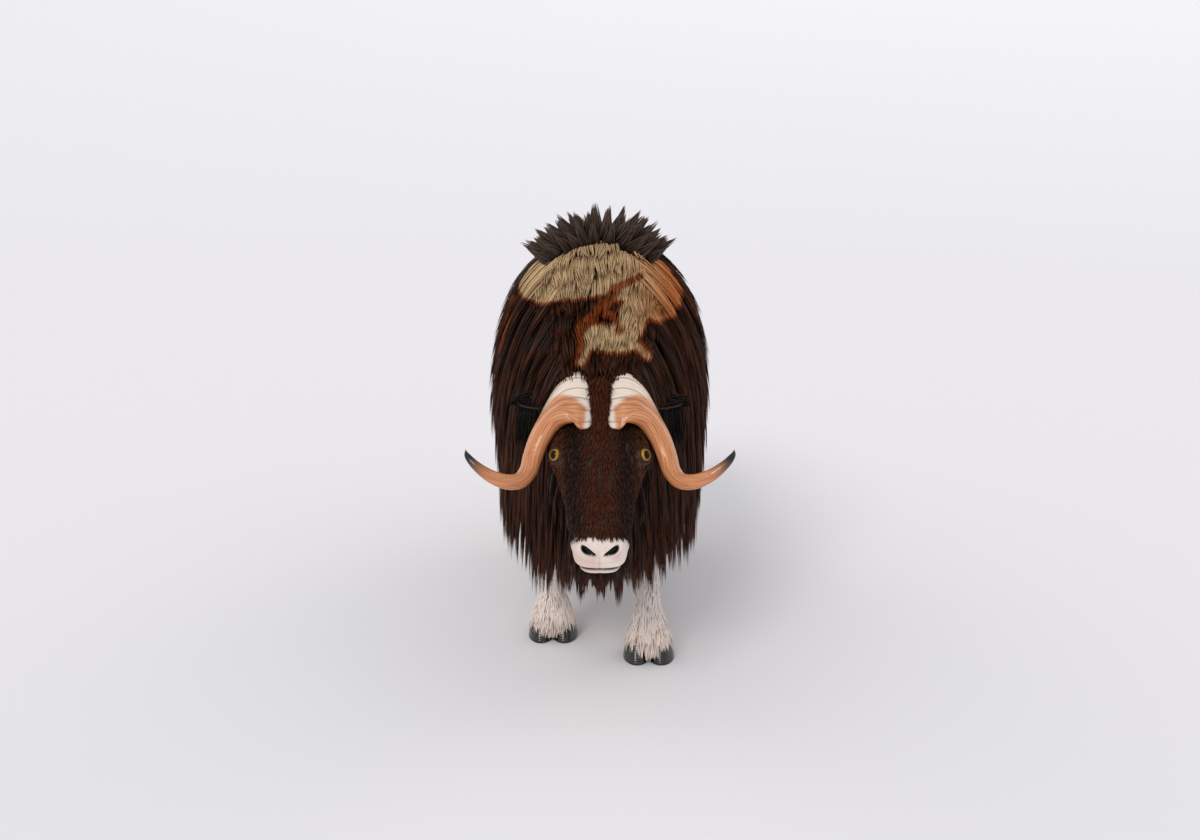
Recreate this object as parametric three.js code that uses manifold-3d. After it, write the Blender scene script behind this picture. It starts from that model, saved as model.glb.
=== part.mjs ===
// A standing muskox bull at life size, in millimetres. +Z is up, the muzzle points to -Y,
// +X is the animal's left, and the origin is on the ground below the middle of the body.
import * as THREE from "three";
import { mergeVertices } from "three/addons/utils/BufferGeometryUtils.js";
import Module from "manifold-3d";

const wasm = await Module();
wasm.setup();

// Driving dimensions
const GAP = 0.3; // left between touching pieces
const HUMP_TOP = 1425; // height of the flesh over the shoulders
const BARREL_HALF_WIDTH = 312;
const BARREL_AXIS_HEIGHT = 855;
const BELLY_HEIGHT = 490;
const COAT_CORE = 28; // underwool outside the flesh, the lower part of the coat's depth
const NECK_CUT_Y = -400; // neck and trunk part here
const RUMP_CUT_Y = 820; // flanks and rump part here
const BACK_HALF_WIDTH = 190; // back and flanks part here
const SKIRT_TIP_HEIGHT = 340;
const HEAD_TOP = new THREE.Vector3(0, -672, 966); // the poll
const FACE_TILT = 48; // degrees of the face's line from the vertical
const THROAT_Y = -742; // hair of the head and hair of the neck part here
const HORN_GAP = 20; // half the strip of hair between the horn bosses
const EYE_RADIUS = 25;
const LEG_SPREAD_FRONT = 170;
const LEG_SPREAD_BACK = 228;
const HOOF_LENGTH = 148;
const HOOF_WIDTH = 84;
const HOOF_HEIGHT = 66;

const TRUNK_SIDES = 18;
const TRUNK_RINGS = 17;
const LOCK_SINK = 16; // depth of a lock's root in the underwool
const HANG_SLOPE = -0.1; // a lock hangs free where the coat faces down more than this
const HANG_INWARD = 0.06; // how far a hanging lock leans in, per unit of its length
const DOWN = new THREE.Vector3(0, 0, -1);

// Repeatable random numbers between 0 and 1
let seed = 20011;
function random() {
  seed = (seed * 16807) % 2147483647;
  return seed / 2147483647;
}

function vary(amount) {
  return (random() * 2 - 1) * amount;
}

// A row of numbers between the rows of a table, smooth in its first column
function rowAt(rows, key) {
  const last = rows.length - 1;
  let i = 0;
  while (i < last - 1 && key > rows[i + 1][0]) i += 1;
  const a = rows[i];
  const b = rows[i + 1];
  const span = b[0] - a[0];
  const t = Math.min(1, Math.max(0, (key - a[0]) / span));
  const before = rows[Math.max(0, i - 1)];
  const after = rows[Math.min(last, i + 2)];
  return a.map((_, k) => {
    if (k === 0) return key;
    const slopeA = ((b[k] - before[k]) / (b[0] - before[0])) * span;
    const slopeB = ((after[k] - a[k]) / (after[0] - a[0])) * span;
    const t2 = t * t;
    const t3 = t2 * t;
    const startPart = (2 * t3 - 3 * t2 + 1) * a[k] + (t3 - 2 * t2 + t) * slopeA;
    return startPart + (3 * t2 - 2 * t3) * b[k] + (t3 - t2) * slopeB;
  });
}

// A closed three.js geometry as a solid
function solid(geometry) {
  const bare = geometry.clone();
  bare.deleteAttribute("normal");
  bare.deleteAttribute("uv");
  const merged = mergeVertices(bare, 1e-3);
  const vertProperties = new Float32Array(merged.attributes.position.array);
  const triVerts = new Uint32Array(merged.index.array);
  return new wasm.Manifold(new wasm.Mesh({ numProp: 3, vertProperties, triVerts }));
}

function union(solids) {
  return wasm.Manifold.union(solids);
}

// The largest closed surface of a solid, without loose scraps
function largest(made) {
  const bodies = made.decompose();
  bodies.sort((a, b) => b.volume() - a.volume());
  return bodies[0];
}

// Moves every vertex of a geometry to the place that a function of the old one gives
function reshape(geometry, placeOf) {
  const position = geometry.attributes.position;
  const vertex = new THREE.Vector3();
  for (let i = 0; i < position.count; i += 1) {
    vertex.fromBufferAttribute(position, i);
    const placed = placeOf(vertex);
    position.setXYZ(i, placed.x, placed.y, placed.z);
  }
  return geometry;
}

function roundPower(value, power) {
  return Math.sign(value) * Math.abs(value) ** power;
}

// An ellipsoid, given its centre, its half sizes and a turn
function egg(centre, half, turn = new THREE.Euler(), sides = 10, rings = 7) {
  const geometry = new THREE.SphereGeometry(1, sides, rings);
  const matrix = new THREE.Matrix4().compose(
    centre,
    new THREE.Quaternion().setFromEuler(turn),
    new THREE.Vector3(...half),
  );
  return solid(geometry.applyMatrix4(matrix));
}

// Keeps what lies between two values along one axis
function between(made, axis, low, high) {
  const kept = made.trimByPlane(axis, low);
  return kept.trimByPlane(
    axis.map((part) => -part),
    -high,
  );
}
const ALONG_X = [1, 0, 0];
const ALONG_Y = [0, 1, 0];
const ALONG_Z = [0, 0, 1];
const FAR = 3000;

// Trunk and neck: height of the axis, half width, rise above the axis and drop below it, by y
const topRise = HUMP_TOP - BARREL_AXIS_HEIGHT;
const bellyDrop = BARREL_AXIS_HEIGHT - BELLY_HEIGHT;
const TRUNK = [
  [-725, 900, 0, 0, 0],
  [-708, 898, 0.25, 0.14, 0.3],
  [-650, 890, 0.48, 0.33, 0.52],
  [-550, 882, 0.67, 0.54, 0.76],
  [-420, 872, 0.84, 0.82, 0.95],
  [-300, 862, 0.94, 0.97, 1],
  [-200, 857, 0.99, 1, 1.01],
  [-20, 855, 1, 0.87, 1.01],
  [250, 855, 1, 0.725, 1],
  [500, 855, 0.97, 0.67, 0.95],
  [730, 855, 0.87, 0.61, 0.84],
  [890, 855, 0.68, 0.5, 0.65],
  [993, 855, 0.4, 0.29, 0.37],
  [1030, 855, 0, 0, 0],
].map(([y, axis, width, rise, drop]) => [
  y,
  axis,
  width * BARREL_HALF_WIDTH,
  rise * topRise,
  drop * bellyDrop,
]);
const TRUNK_START = TRUNK[0][0];
const TRUNK_END = TRUNK[TRUNK.length - 1][0];
const TRUNK_SQUARENESS = 0.88;
const NECK_MIDDLE_Y = -470; // the coat is followed round this point in front of it
const RUMP_MIDDLE_Y = 700; // and round this point behind it

// The trunk's section at a place along its grown length
function sectionAt(y, grow) {
  const part = (y - TRUNK_START + grow) / (TRUNK_END - TRUNK_START + 2 * grow);
  return rowAt(TRUNK, THREE.MathUtils.lerp(TRUNK_START, TRUNK_END, THREE.MathUtils.clamp(part, 0, 1)));
}

function trunkPoint(y, angle, grow = 0, spread = grow) {
  const [, axis, width, rise, drop] = sectionAt(y, grow);
  const c = roundPower(Math.cos(THREE.MathUtils.degToRad(angle)), TRUNK_SQUARENESS);
  const s = roundPower(Math.sin(THREE.MathUtils.degToRad(angle)), TRUNK_SQUARENESS);
  const height = (s > 0 ? rise : drop) + spread;
  return new THREE.Vector3((width + spread) * c, y, axis + height * s);
}

function trunkSolid(grow) {
  const place = (vertex) => {
    const y = THREE.MathUtils.lerp(TRUNK_START - grow, TRUNK_END + grow, (1 + vertex.y) / 2);
    const flat = Math.hypot(vertex.x, vertex.z);
    if (flat < 1e-6) return new THREE.Vector3(0, y, sectionAt(y, grow)[1]);
    const angle = THREE.MathUtils.radToDeg(Math.atan2(vertex.z, vertex.x));
    return trunkPoint(y, angle, grow, grow * Math.min(1, flat * 2));
  };
  return solid(reshape(new THREE.SphereGeometry(1, TRUNK_SIDES, TRUNK_RINGS), place));
}

// How far outside the underwool a point lies, over 1 outside and under 1 inside
function coatLevel(point) {
  const [, axis, width, rise, drop] = sectionAt(point.y, COAT_CORE);
  const beyondEnds = Math.max(TRUNK_START - point.y, point.y - TRUNK_END) / COAT_CORE;
  if (beyondEnds >= 1) return 10;
  const power = 2 / TRUNK_SQUARENESS;
  const height = (point.z > axis ? rise : drop) + COAT_CORE;
  const across = Math.abs(point.x) / (width + COAT_CORE);
  return across ** power + (Math.abs(point.z - axis) / height) ** power;
}

function coatNormal(point) {
  const slope = ["x", "y", "z"].map((axis) => {
    const ahead = point.clone();
    const behind = point.clone();
    ahead[axis] += 6;
    behind[axis] -= 6;
    return Math.max(-1, Math.min(3, coatLevel(ahead))) - Math.min(3, coatLevel(behind));
  });
  return new THREE.Vector3(...slope).normalize();
}

// The point of the underwool's surface on the ray from the middle of the body through a point
function ontoCoat(point) {
  const middleY = THREE.MathUtils.clamp(point.y, NECK_MIDDLE_Y, RUMP_MIDDLE_Y);
  const middle = new THREE.Vector3(0, middleY, sectionAt(middleY, COAT_CORE)[1]);
  const ray = point.clone().sub(middle).normalize();
  let inside = 20;
  let outside = 700;
  for (let i = 0; i < 22; i += 1) {
    const half = (inside + outside) / 2;
    if (coatLevel(middle.clone().addScaledVector(ray, half)) < 1) inside = half;
    else outside = half;
  }
  return middle.addScaledVector(ray, inside);
}

// One flat, tapered lock of hair through the given points, with a ridge along its outer face
const LOCK_TAPER = [0.8, 1, 0.94, 0.72, 0.42, 0].map((width, i) => [i / 5, width]);
function lock(points, normals, width, thickness) {
  const steps = points.length - 1;
  const place = (vertex) => {
    const part = vertex.y + 0.5;
    const k = Math.round(part * steps);
    const coneRadius = Math.max(1e-9, 1 - part);
    const along = points[Math.min(steps, k + 1)].clone().sub(points[Math.max(0, k - 1)]).normalize();
    const outward = normals[k].clone().addScaledVector(along, -normals[k].dot(along)).normalize();
    const across = along.clone().cross(outward);
    const share = k === steps ? 0 : rowAt(LOCK_TAPER, part)[1];
    const sideways = (vertex.x / coneRadius) * share * (width / Math.sqrt(3));
    const raised = (vertex.z / coneRadius) * Math.sqrt(share) * (thickness / 1.5);
    return points[k].clone().addScaledVector(across, sideways).addScaledVector(outward, raised);
  };
  return solid(reshape(new THREE.ConeGeometry(1, 1, 3, steps), place));
}

// A lock that follows the coat from a start point along a pull, and hangs where the coat turns under
function coatLock({ start, pull = DOWN, length, width, thickness, lift, steps = 4 }) {
  const step = length / steps;
  const points = [];
  const normals = [];
  let at = ontoCoat(start);
  let normal = coatNormal(at);
  let hanging = false;
  for (let k = 0; k <= steps; k += 1) {
    if (!hanging) normal = coatNormal(at);
    if (pull.z < -0.5 && normal.z < HANG_SLOPE) hanging = true;
    if (hanging) normal = normal.clone().setZ(0).normalize();
    const rise = k === 0 ? -LOCK_SINK : (lift * k) / steps;
    points.push(at.clone().addScaledVector(normal, rise));
    normals.push(normal);
    const flow = hanging
      ? DOWN.clone().addScaledVector(normal, -HANG_INWARD)
      : pull.clone().addScaledVector(normal, -normal.dot(pull));
    at = at.clone().addScaledVector(flow.normalize(), step);
    if (!hanging) at = ontoCoat(at);
  }
  return lock(points, normals, width, thickness);
}

// A lock that leaves a root point along a normal and bends over to hang down
function bentLock({ root, normal, length, width, thickness, out, steps = 3, sink = 12, pull = DOWN }) {
  const points = [];
  const normals = [];
  for (let k = 0; k <= steps; k += 1) {
    const part = k / steps;
    const outward = k === 0 ? -sink : out * Math.sin((part * Math.PI) / 2);
    points.push(root.clone().addScaledVector(normal, outward).addScaledVector(pull, length * part));
    normals.push(normal.clone());
  }
  return lock(points, normals, width, thickness);
}

// A closed column, given rows of height, centre x, centre y, half width and half depth
function column(rows, sides, rings, grow = 0) {
  const bottom = rows[0][0];
  const top = rows[rows.length - 1][0];
  const place = (vertex) => {
    const z = THREE.MathUtils.lerp(bottom - grow, top + grow, vertex.y + 0.5);
    const [, x, y, halfX, halfY] = rowAt(rows, THREE.MathUtils.clamp(z, bottom, top));
    return new THREE.Vector3(x + vertex.x * (halfX + grow), y - vertex.z * (halfY + grow), z);
  };
  return solid(reshape(new THREE.CylinderGeometry(1, 1, 1, sides, rings), place));
}

// Flesh and underwool, whole
const flesh = trunkSolid(0);
const fleshClear = trunkSolid(GAP);
const woolly = trunkSolid(COAT_CORE);

// Head: its own frame has x to the animal's left, y out of the face and z down the face
const tilt = THREE.MathUtils.degToRad(FACE_TILT);
const headMatrix = new THREE.Matrix4()
  .makeBasis(
    new THREE.Vector3(1, 0, 0),
    new THREE.Vector3(0, -Math.cos(tilt), Math.sin(tilt)),
    new THREE.Vector3(0, -Math.sin(tilt), -Math.cos(tilt)),
  )
  .setPosition(HEAD_TOP);
const toWorld = (made) => made.transform(headMatrix.elements);

// Distance down the face, centre, half width, rise of the face, depth of the jaw, narrowing of the jaw
const HEAD = [
  [-40, -25, 0, 0, 0, 0.1],
  [-28, -25, 62, 40, 50, 0.1],
  [20, -20, 105, 68, 95, 0.15],
  [80, -15, 128, 80, 122, 0.2],
  [140, -12, 140, 80, 138, 0.26],
  [205, -10, 141, 74, 142, 0.3],
  [280, -8, 122, 68, 134, 0.34],
  [350, -6, 105, 62, 114, 0.34],
  [420, -5, 95, 58, 94, 0.28],
  [480, -5, 91, 55, 80, 0.2],
  [525, -6, 83, 48, 68, 0.14],
  [554, -8, 58, 34, 46, 0.1],
  [568, -9, 0, 0, 0, 0.1],
];
const HEAD_SQUARENESS = 0.82;
const MUZZLE_SLANT = 0.3; // how far the muzzle's end leans back, per unit of its height

function headPoint(s, angle, grow = 0) {
  const [, centre, width, rise, drop, pinch] = rowAt(HEAD, s);
  const radians = THREE.MathUtils.degToRad(angle);
  const c = roundPower(Math.cos(radians), HEAD_SQUARENESS);
  const n = roundPower(Math.sin(radians), HEAD_SQUARENESS);
  const narrowed = 1 - pinch * Math.max(0, -n);
  return new THREE.Vector3((width + grow) * c * narrowed, centre + ((n > 0 ? rise : drop) + grow) * n, s);
}

function headNormal(s, angle) {
  const down = headPoint(s + 4, angle).sub(headPoint(s - 4, angle));
  const around = headPoint(s, angle + 3).sub(headPoint(s, angle - 3));
  return around.cross(down).normalize();
}

function skull(grow) {
  const start = HEAD[0][0];
  const end = HEAD[HEAD.length - 1][0];
  const place = (vertex) => {
    const part = (1 + vertex.y) / 2;
    const s = THREE.MathUtils.lerp(start, end, part);
    const flat = Math.hypot(vertex.x, vertex.z);
    const angle = THREE.MathUtils.radToDeg(Math.atan2(-vertex.z, vertex.x));
    const placed = headPoint(s, angle, flat < 1e-6 ? 0 : grow * Math.min(1, flat * 2));
    const slant = MUZZLE_SLANT * placed.y * THREE.MathUtils.smoothstep(s, 490, 556);
    placed.z = THREE.MathUtils.lerp(start - grow, end + grow, part) - slant;
    return placed;
  };
  return solid(reshape(new THREE.SphereGeometry(1, 18, 15), place));
}

// Forms that stand out from the head: centre and half sizes, on both sides or in the middle
const EYE = new THREE.Vector3(131, 30, 220);
const HEAD_FORMS = [
  [[114, 22, 218], [42, 40, 54]], // orbit
  [[-114, 22, 218], [42, 40, 54]],
  [[82, -62, 262], [30, 62, 92]], // cheek
  [[-82, -62, 262], [30, 62, 92]],
  [[0, 16, 515], [88, 38, 42]], // nostrils and upper lip
  [[0, -58, 528], [64, 24, 42]], // lower lip and chin
];

function headForms(grow) {
  return HEAD_FORMS.map(([centre, half]) => {
    const size = half.map((value) => value + grow);
    return egg(new THREE.Vector3(...centre), size, undefined, 10, centre[0] ? 6 : 7);
  });
}

// What the head's surface loses: the opening between the lids, the nostrils and the mouth
function headOpenings() {
  const cuts = [egg(new THREE.Vector3(0, -34, 562), [120, 4, 62], new THREE.Euler(0.32, 0, 0), 12, 5)];
  [1, -1].forEach((side) => {
    const eye = new THREE.Vector3(side * EYE.x, EYE.y, EYE.z);
    cuts.push(egg(eye, Array(3).fill(EYE_RADIUS + GAP), undefined, 10, 6));
    const opening = new THREE.Vector3(side * (EYE.x + 14), EYE.y + 16, EYE.z + 3);
    cuts.push(egg(opening, [18, 12.5, 19], new THREE.Euler(0.25, 0, 0), 8, 6));
    const nostril = new THREE.Vector3(side * 38, 30, 546);
    cuts.push(egg(nostril, [25, 9, 20], new THREE.Euler(0.75, 0, side * 0.55), 8, 6));
  });
  return cuts;
}

// Horns: x, out of the face, down the face, half width, half thickness and the outward direction
const HORN = [
  [22, 58, 46, 72, 12, -0.4, 1, 0],
  [38, 74, 46, 102, 22, -0.1, 1, 0],
  [74, 78, 46, 110, 30, 0.25, 1, 0],
  [112, 63, 58, 96, 33, 0.7, 0.8, -0.1],
  [154, 36, 94, 64, 32, 1, 0.65, -0.15],
  [187, 14, 146, 43, 30, 0.9, 0.75, -0.1],
  [208, 0, 205, 33, 28, 0.7, 0.9, -0.05],
  [220, 0, 256, 29, 26, 0.5, 1, 0],
  [245, 18, 302, 26, 24, 0.2, 1, -0.1],
  [286, 46, 322, 24, 22, 0, 1, -0.1],
  [332, 77, 319, 19, 18, -0.1, 1, 0.2],
  [372, 98, 297, 14, 14, -0.2, 1, 0.3],
  [397, 108, 270, 9, 8, -0.2, 1, 0.2],
  [404, 110, 248, 0, 0, -0.2, 1, 0.2],
].map((row, i, all) => [i / (all.length - 1), ...row]);
const HORN_RINGS = 20;
const HORN_SIDES = 10;
const BOSS_SHARE = 0.32; // share of the horn's length that is boss

function horn(side, grow = 0) {
  const centreAt = (part) => new THREE.Vector3(...rowAt(HORN, part).slice(1, 4));
  const place = (vertex) => {
    const part = THREE.MathUtils.clamp(vertex.y + 0.5, 0, 1);
    const [, , , , wide, thick, outX, outY, outZ] = rowAt(HORN, part);
    const next = centreAt(Math.min(1, part + 0.01));
    const along = next.sub(centreAt(Math.max(0, part - 0.01))).normalize();
    const outward = new THREE.Vector3(outX, outY, outZ);
    outward.addScaledVector(along, -outward.dot(along)).normalize();
    const across = along.clone().cross(outward);
    const boss = Math.max(0, 1 - part / BOSS_SHARE);
    const angle = Math.atan2(vertex.z, vertex.x);
    const ribbed = 1 + 0.1 * Math.min(1, boss * 2) * Math.cos(angle * 7) * (vertex.z > 0 ? 1 : 0);
    const placed = centreAt(part)
      .addScaledVector(across, vertex.x * (Math.max(0, wide) + grow))
      .addScaledVector(outward, vertex.z * (Math.max(0, thick) + grow) * ribbed);
    placed.x *= side;
    return placed;
  };
  const geometry = reshape(new THREE.CylinderGeometry(1, 1, 1, HORN_SIDES, HORN_RINGS), place);
  const made = side > 0 ? geometry : turnedInsideOut(geometry);
  return toWorld(solid(made));
}

// A mirrored geometry with its faces pointing out again
function turnedInsideOut(geometry) {
  const index = geometry.index.array;
  for (let i = 0; i < index.length; i += 3) [index[i + 1], index[i + 2]] = [index[i + 2], index[i + 1]];
  return geometry;
}

const skullClear = toWorld(union([skull(GAP), ...headForms(GAP)]));
const horns = [1, -1].map((side) => largest(horn(side).subtract(skullClear)));
const hornsClear = [1, -1].map((side) => horn(side, GAP));

// Locks on the head: beard under the chin and jaw, whiskers on the cheeks, forelock between the bosses
const BEARD_ROWS = [
  { s: 485, angles: [-62, -90, -118], length: 110, width: 52 },
  { s: 400, angles: [-45, -90, -135], length: 175, width: 88 },
];
const CHEEK_LOCKS = [
  [215, -30],
  [300, -26],
];

function headLock(s, angle, options) {
  const root = headPoint(s, angle).applyMatrix4(headMatrix);
  const normal = headNormal(s, angle).transformDirection(headMatrix);
  return bentLock({ root, normal, ...options });
}

function beard() {
  return BEARD_ROWS.flatMap(({ s, angles, length, width }) =>
    angles.map((angle) =>
      headLock(s + vary(10), angle + vary(4), {
        length: length * (1 + vary(0.16)),
        width: width * (1 + vary(0.1)),
        thickness: 14,
        out: 16 + vary(4),
      }),
    ),
  );
}

function cheekLocks() {
  return CHEEK_LOCKS.flatMap(([s, angle]) =>
    [1, -1].map((side) =>
      headLock(s + vary(8), side > 0 ? angle : 180 - angle, {
        length: 130 * (1 + vary(0.15)),
        width: 70,
        thickness: 14,
        out: 18 + vary(4),
      }),
    ),
  );
}

function forelock() {
  const ridge = toWorld(egg(new THREE.Vector3(0, 74, 44), [HORN_GAP + 2, 38, 106], undefined, 10, 8));
  const pull = new THREE.Vector3(0, 0, 1).transformDirection(headMatrix);
  const falls = [-15, 15].map((x) =>
    bentLock({
      root: new THREE.Vector3(x * 0.5, 78, 104).applyMatrix4(headMatrix),
      normal: new THREE.Vector3(x / 40, 1, 0).transformDirection(headMatrix).normalize(),
      length: 100 + x,
      width: 44,
      thickness: 16,
      out: -4,
      pull: pull.clone().add(new THREE.Vector3(x / 60, 0, 0)),
    }),
  );
  return union([ridge, ...falls]);
}

function headSolid() {
  const plain = toWorld(union([skull(0), ...headForms(0)]).subtract(union(headOpenings())));
  const hanging = between(union([...beard(), ...cheekLocks()]), ALONG_Y, -FAR, THROAT_Y - GAP);
  const hair = union([hanging, forelock()]).subtract(union([...hornsClear, trunkSolid(COAT_CORE + GAP)]));
  return largest(union([plain, hair]));
}

// Ears: cupped leaves behind the horns
const EAR_ROOT = new THREE.Vector3(110, 16, -30);
const EAR_LENGTH = 184;
function ear(side, grow = 0) {
  const droop = new THREE.Euler(-0.2, 0.34, -0.28);
  const middle = EAR_ROOT.clone().add(new THREE.Vector3(EAR_LENGTH * 0.4, -16, 22));
  const leaf = egg(middle, [EAR_LENGTH / 2 + grow, 22 + grow, 44 + grow], droop);
  const cup = egg(middle.clone().add(new THREE.Vector3(6, 17, 2)), [66, 20, 31], droop, 8, 6);
  const whole = grow ? leaf : leaf.subtract(cup);
  const sided = side > 0 ? whole : whole.mirror([1, 0, 0]);
  return toWorld(sided);
}

// Legs: height, centre x, centre y, half width and half depth, from the foot up
const FORELEG = [
  [36, 0, -2, 77, 72],
  [76, 0, 4, 81, 74],
  [120, 0, 12, 68, 62],
  [170, 0, 18, 53, 51],
  [230, 0, 22, 46, 45],
  [300, 0, 22, 48, 47],
  [360, 0, 18, 51, 55],
  [430, 0, 26, 56, 66],
  [500, 0, 36, 64, 88],
  [570, 0, 42, 70, 104],
  [700, 0, 46, 70, 108],
];
const HINDLEG = [
  [36, 0, -2, 76, 72],
  [76, 0, 6, 80, 72],
  [120, 0, 20, 66, 60],
  [170, -2, 34, 51, 50],
  [240, -6, 50, 45, 45],
  [320, -12, 64, 46, 51],
  [390, -18, 76, 50, 64],
  [450, -25, 70, 55, 78],
  [530, -40, 42, 64, 102],
  [620, -56, 8, 74, 126],
  [740, -64, -6, 78, 130],
];
const FEET = {
  foreleg_left: { rows: FORELEG, side: 1, x: LEG_SPREAD_FRONT, y: -445, lean: 0.24 },
  foreleg_right: { rows: FORELEG, side: -1, x: LEG_SPREAD_FRONT, y: -255, lean: -0.1 },
  hindleg_left: { rows: HINDLEG, side: 1, x: LEG_SPREAD_BACK, y: 690, lean: 0 },
  hindleg_right: { rows: HINDLEG, side: -1, x: LEG_SPREAD_BACK, y: 722, lean: -0.05 },
};
const DEWCLAW = { x: 28, y: 66, z: 102, half: [14, 12, 20] };
const TOE_GAP = 6; // between the two halves of a hoof

function legColumn({ rows, side, x, y, lean }, grow = 0) {
  const placed = rows.map(([z, cx, cy, halfX, halfY]) => [
    z,
    side * (x + cx),
    y + cy + lean * (z - rows[0][0]),
    halfX,
    halfY,
  ]);
  return column(placed, 12, 9, grow);
}

function hoof(foot, inner, grow = 0) {
  const outward = foot.side * (inner ? -1 : 1);
  const centre = new THREE.Vector3(
    foot.side * foot.x + outward * (HOOF_WIDTH / 2 + TOE_GAP / 2 - 3),
    foot.y - 12,
    14,
  );
  const half = [HOOF_WIDTH / 2 + 5 + grow, HOOF_LENGTH / 2 + grow, HOOF_HEIGHT - 14 + grow];
  const whole = egg(centre, half, new THREE.Euler(0, 0, outward * 0.1), 10, 6);
  const standing = between(whole, ALONG_Z, -grow, FAR);
  const inside = foot.side * foot.x + outward * (TOE_GAP / 2 - grow);
  return outward > 0 ? between(standing, ALONG_X, inside, FAR) : between(standing, ALONG_X, -FAR, inside);
}

function dewclaw(foot, inner, grow = 0) {
  const outward = foot.side * (inner ? -1 : 1);
  const y = foot.y + DEWCLAW.y + foot.lean * DEWCLAW.z;
  const centre = new THREE.Vector3(foot.side * foot.x + outward * DEWCLAW.x, y, DEWCLAW.z);
  const half = DEWCLAW.half.map((value) => value + grow);
  return egg(centre, half, new THREE.Euler(-0.35, 0, 0), 7, 4);
}

const legsClear = union(Object.values(FEET).map((foot) => legColumn(foot, GAP)));

// Rows of locks: each row starts at one angle of the trunk, between two places along it
const COAT_LOCK = { width: 126, thickness: 15, lift: 42 };
const SWEEP = 0.07; // how far back a lock lies, per unit of its fall
function lockRow({ angle, low, high, count, shift = 0.5, ...options }, side) {
  const pitch = (high - low) / count;
  return Array.from({ length: count }, (_, i) => {
    const start = trunkPoint(low + pitch * (i + shift) + vary(pitch * 0.08), angle + vary(2), COAT_CORE);
    start.x *= side;
    return coatLock({
      ...COAT_LOCK,
      pull: new THREE.Vector3(0, SWEEP + vary(SWEEP), -1),
      ...options,
      start,
      length: options.length * (1 + vary(0.09)),
      width: (options.width ?? COAT_LOCK.width) * (1 + vary(0.08)),
      lift: (options.lift ?? COAT_LOCK.lift) + vary(5),
    });
  });
}

// Tufts of the mane that stand up over the shoulders, in a fan from side to side
const MANE_ROWS = [
  { y: -335, angles: [61, 71, 81, 91, 101, 111, 121] },
  { y: -270, angles: [56, 67, 78, 88, 98, 108, 119] },
  { y: -205, angles: [62, 72, 82, 92, 102, 112] },
];
const MANE_TUFT = { length: 112, width: 44, thickness: 18 };
function maneTufts() {
  return MANE_ROWS.flatMap(({ y, angles }) =>
    angles.map((angle) => {
      const root = trunkPoint(y + vary(12), angle + vary(2), COAT_CORE);
      const normal = coatNormal(root);
      const lean = new THREE.Vector3(0, 0.62, 0.12);
      const length = MANE_TUFT.length * (1 + vary(0.2));
      const points = [-LOCK_SINK / length, 0.4, 0.75, 1].map((part) =>
        root
          .clone()
          .addScaledVector(normal, length * 0.75 * part)
          .addScaledVector(lean, part > 0 ? length * 0.6 * part ** 1.5 : 0),
      );
      const facing = new THREE.Vector3(0, -1, 0);
      return lock(
        points,
        points.map(() => facing),
        MANE_TUFT.width * (1 + vary(0.12)),
        MANE_TUFT.thickness,
      );
    }),
  );
}

// Trunk: all the flesh behind the neck, and the underwool, saddle locks and mane of the back
const BACKWARD = new THREE.Vector3(0, 1, 0);
const BACK_ROWS = [66, 90, 114].map((angle, i) => ({
  angle,
  low: -120,
  high: RUMP_CUT_Y - 60,
  count: 4,
  shift: 0.3 + 0.3 * (i % 2),
  length: 270,
  width: 122,
  lift: 30,
  pull: BACKWARD,
  steps: 3,
}));
function trunkNode() {
  const band = between(woolly, ALONG_Y, NECK_CUT_Y, RUMP_CUT_Y);
  const wool = between(between(band, ALONG_X, -BACK_HALF_WIDTH, BACK_HALF_WIDTH), ALONG_Z, 900, FAR);
  const saddle = BACK_ROWS.flatMap((row) => lockRow(row, 1));
  const hair = between(union([...saddle, ...maneTufts()]), ALONG_X, -BACK_HALF_WIDTH, BACK_HALF_WIDTH);
  const trimmed = between(hair, ALONG_Y, -FAR, RUMP_CUT_Y);
  return largest(between(union([flesh, wool, trimmed]), ALONG_Y, NECK_CUT_Y + GAP, FAR));
}

// Flanks: underwool on each side with tiers of long locks that end in the skirt
const FLANK_TIERS = [
  { angle: 55, length: 350, shift: 0.2 },
  { angle: 32, length: 400, shift: 0.6 },
  { angle: 8, length: 450, shift: 0.2 },
  { angle: -12, shift: 0.6, lift: 14 },
];
const FLANK_LOCKS = 9; // in each tier
function flank(side) {
  const low = BACK_HALF_WIDTH + GAP;
  const sideOnly = (made) => (side > 0 ? between(made, ALONG_X, low, FAR) : between(made, ALONG_X, -FAR, -low));
  const skirtLength = trunkPoint(200, FLANK_TIERS.at(-1).angle, COAT_CORE).z - SKIRT_TIP_HEIGHT;
  const tiers = FLANK_TIERS.flatMap((tier) =>
    lockRow({ length: skirtLength, ...tier, low: NECK_CUT_Y + 20, high: RUMP_CUT_Y, count: FLANK_LOCKS }, side),
  );
  const wool = between(woolly, ALONG_Z, BARREL_AXIS_HEIGHT - 190, FAR);
  const coat = between(union([wool, ...tiers]), ALONG_Y, NECK_CUT_Y + GAP, RUMP_CUT_Y);
  return largest(sideOnly(coat).subtract(union([fleshClear, legsClear])));
}

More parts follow.
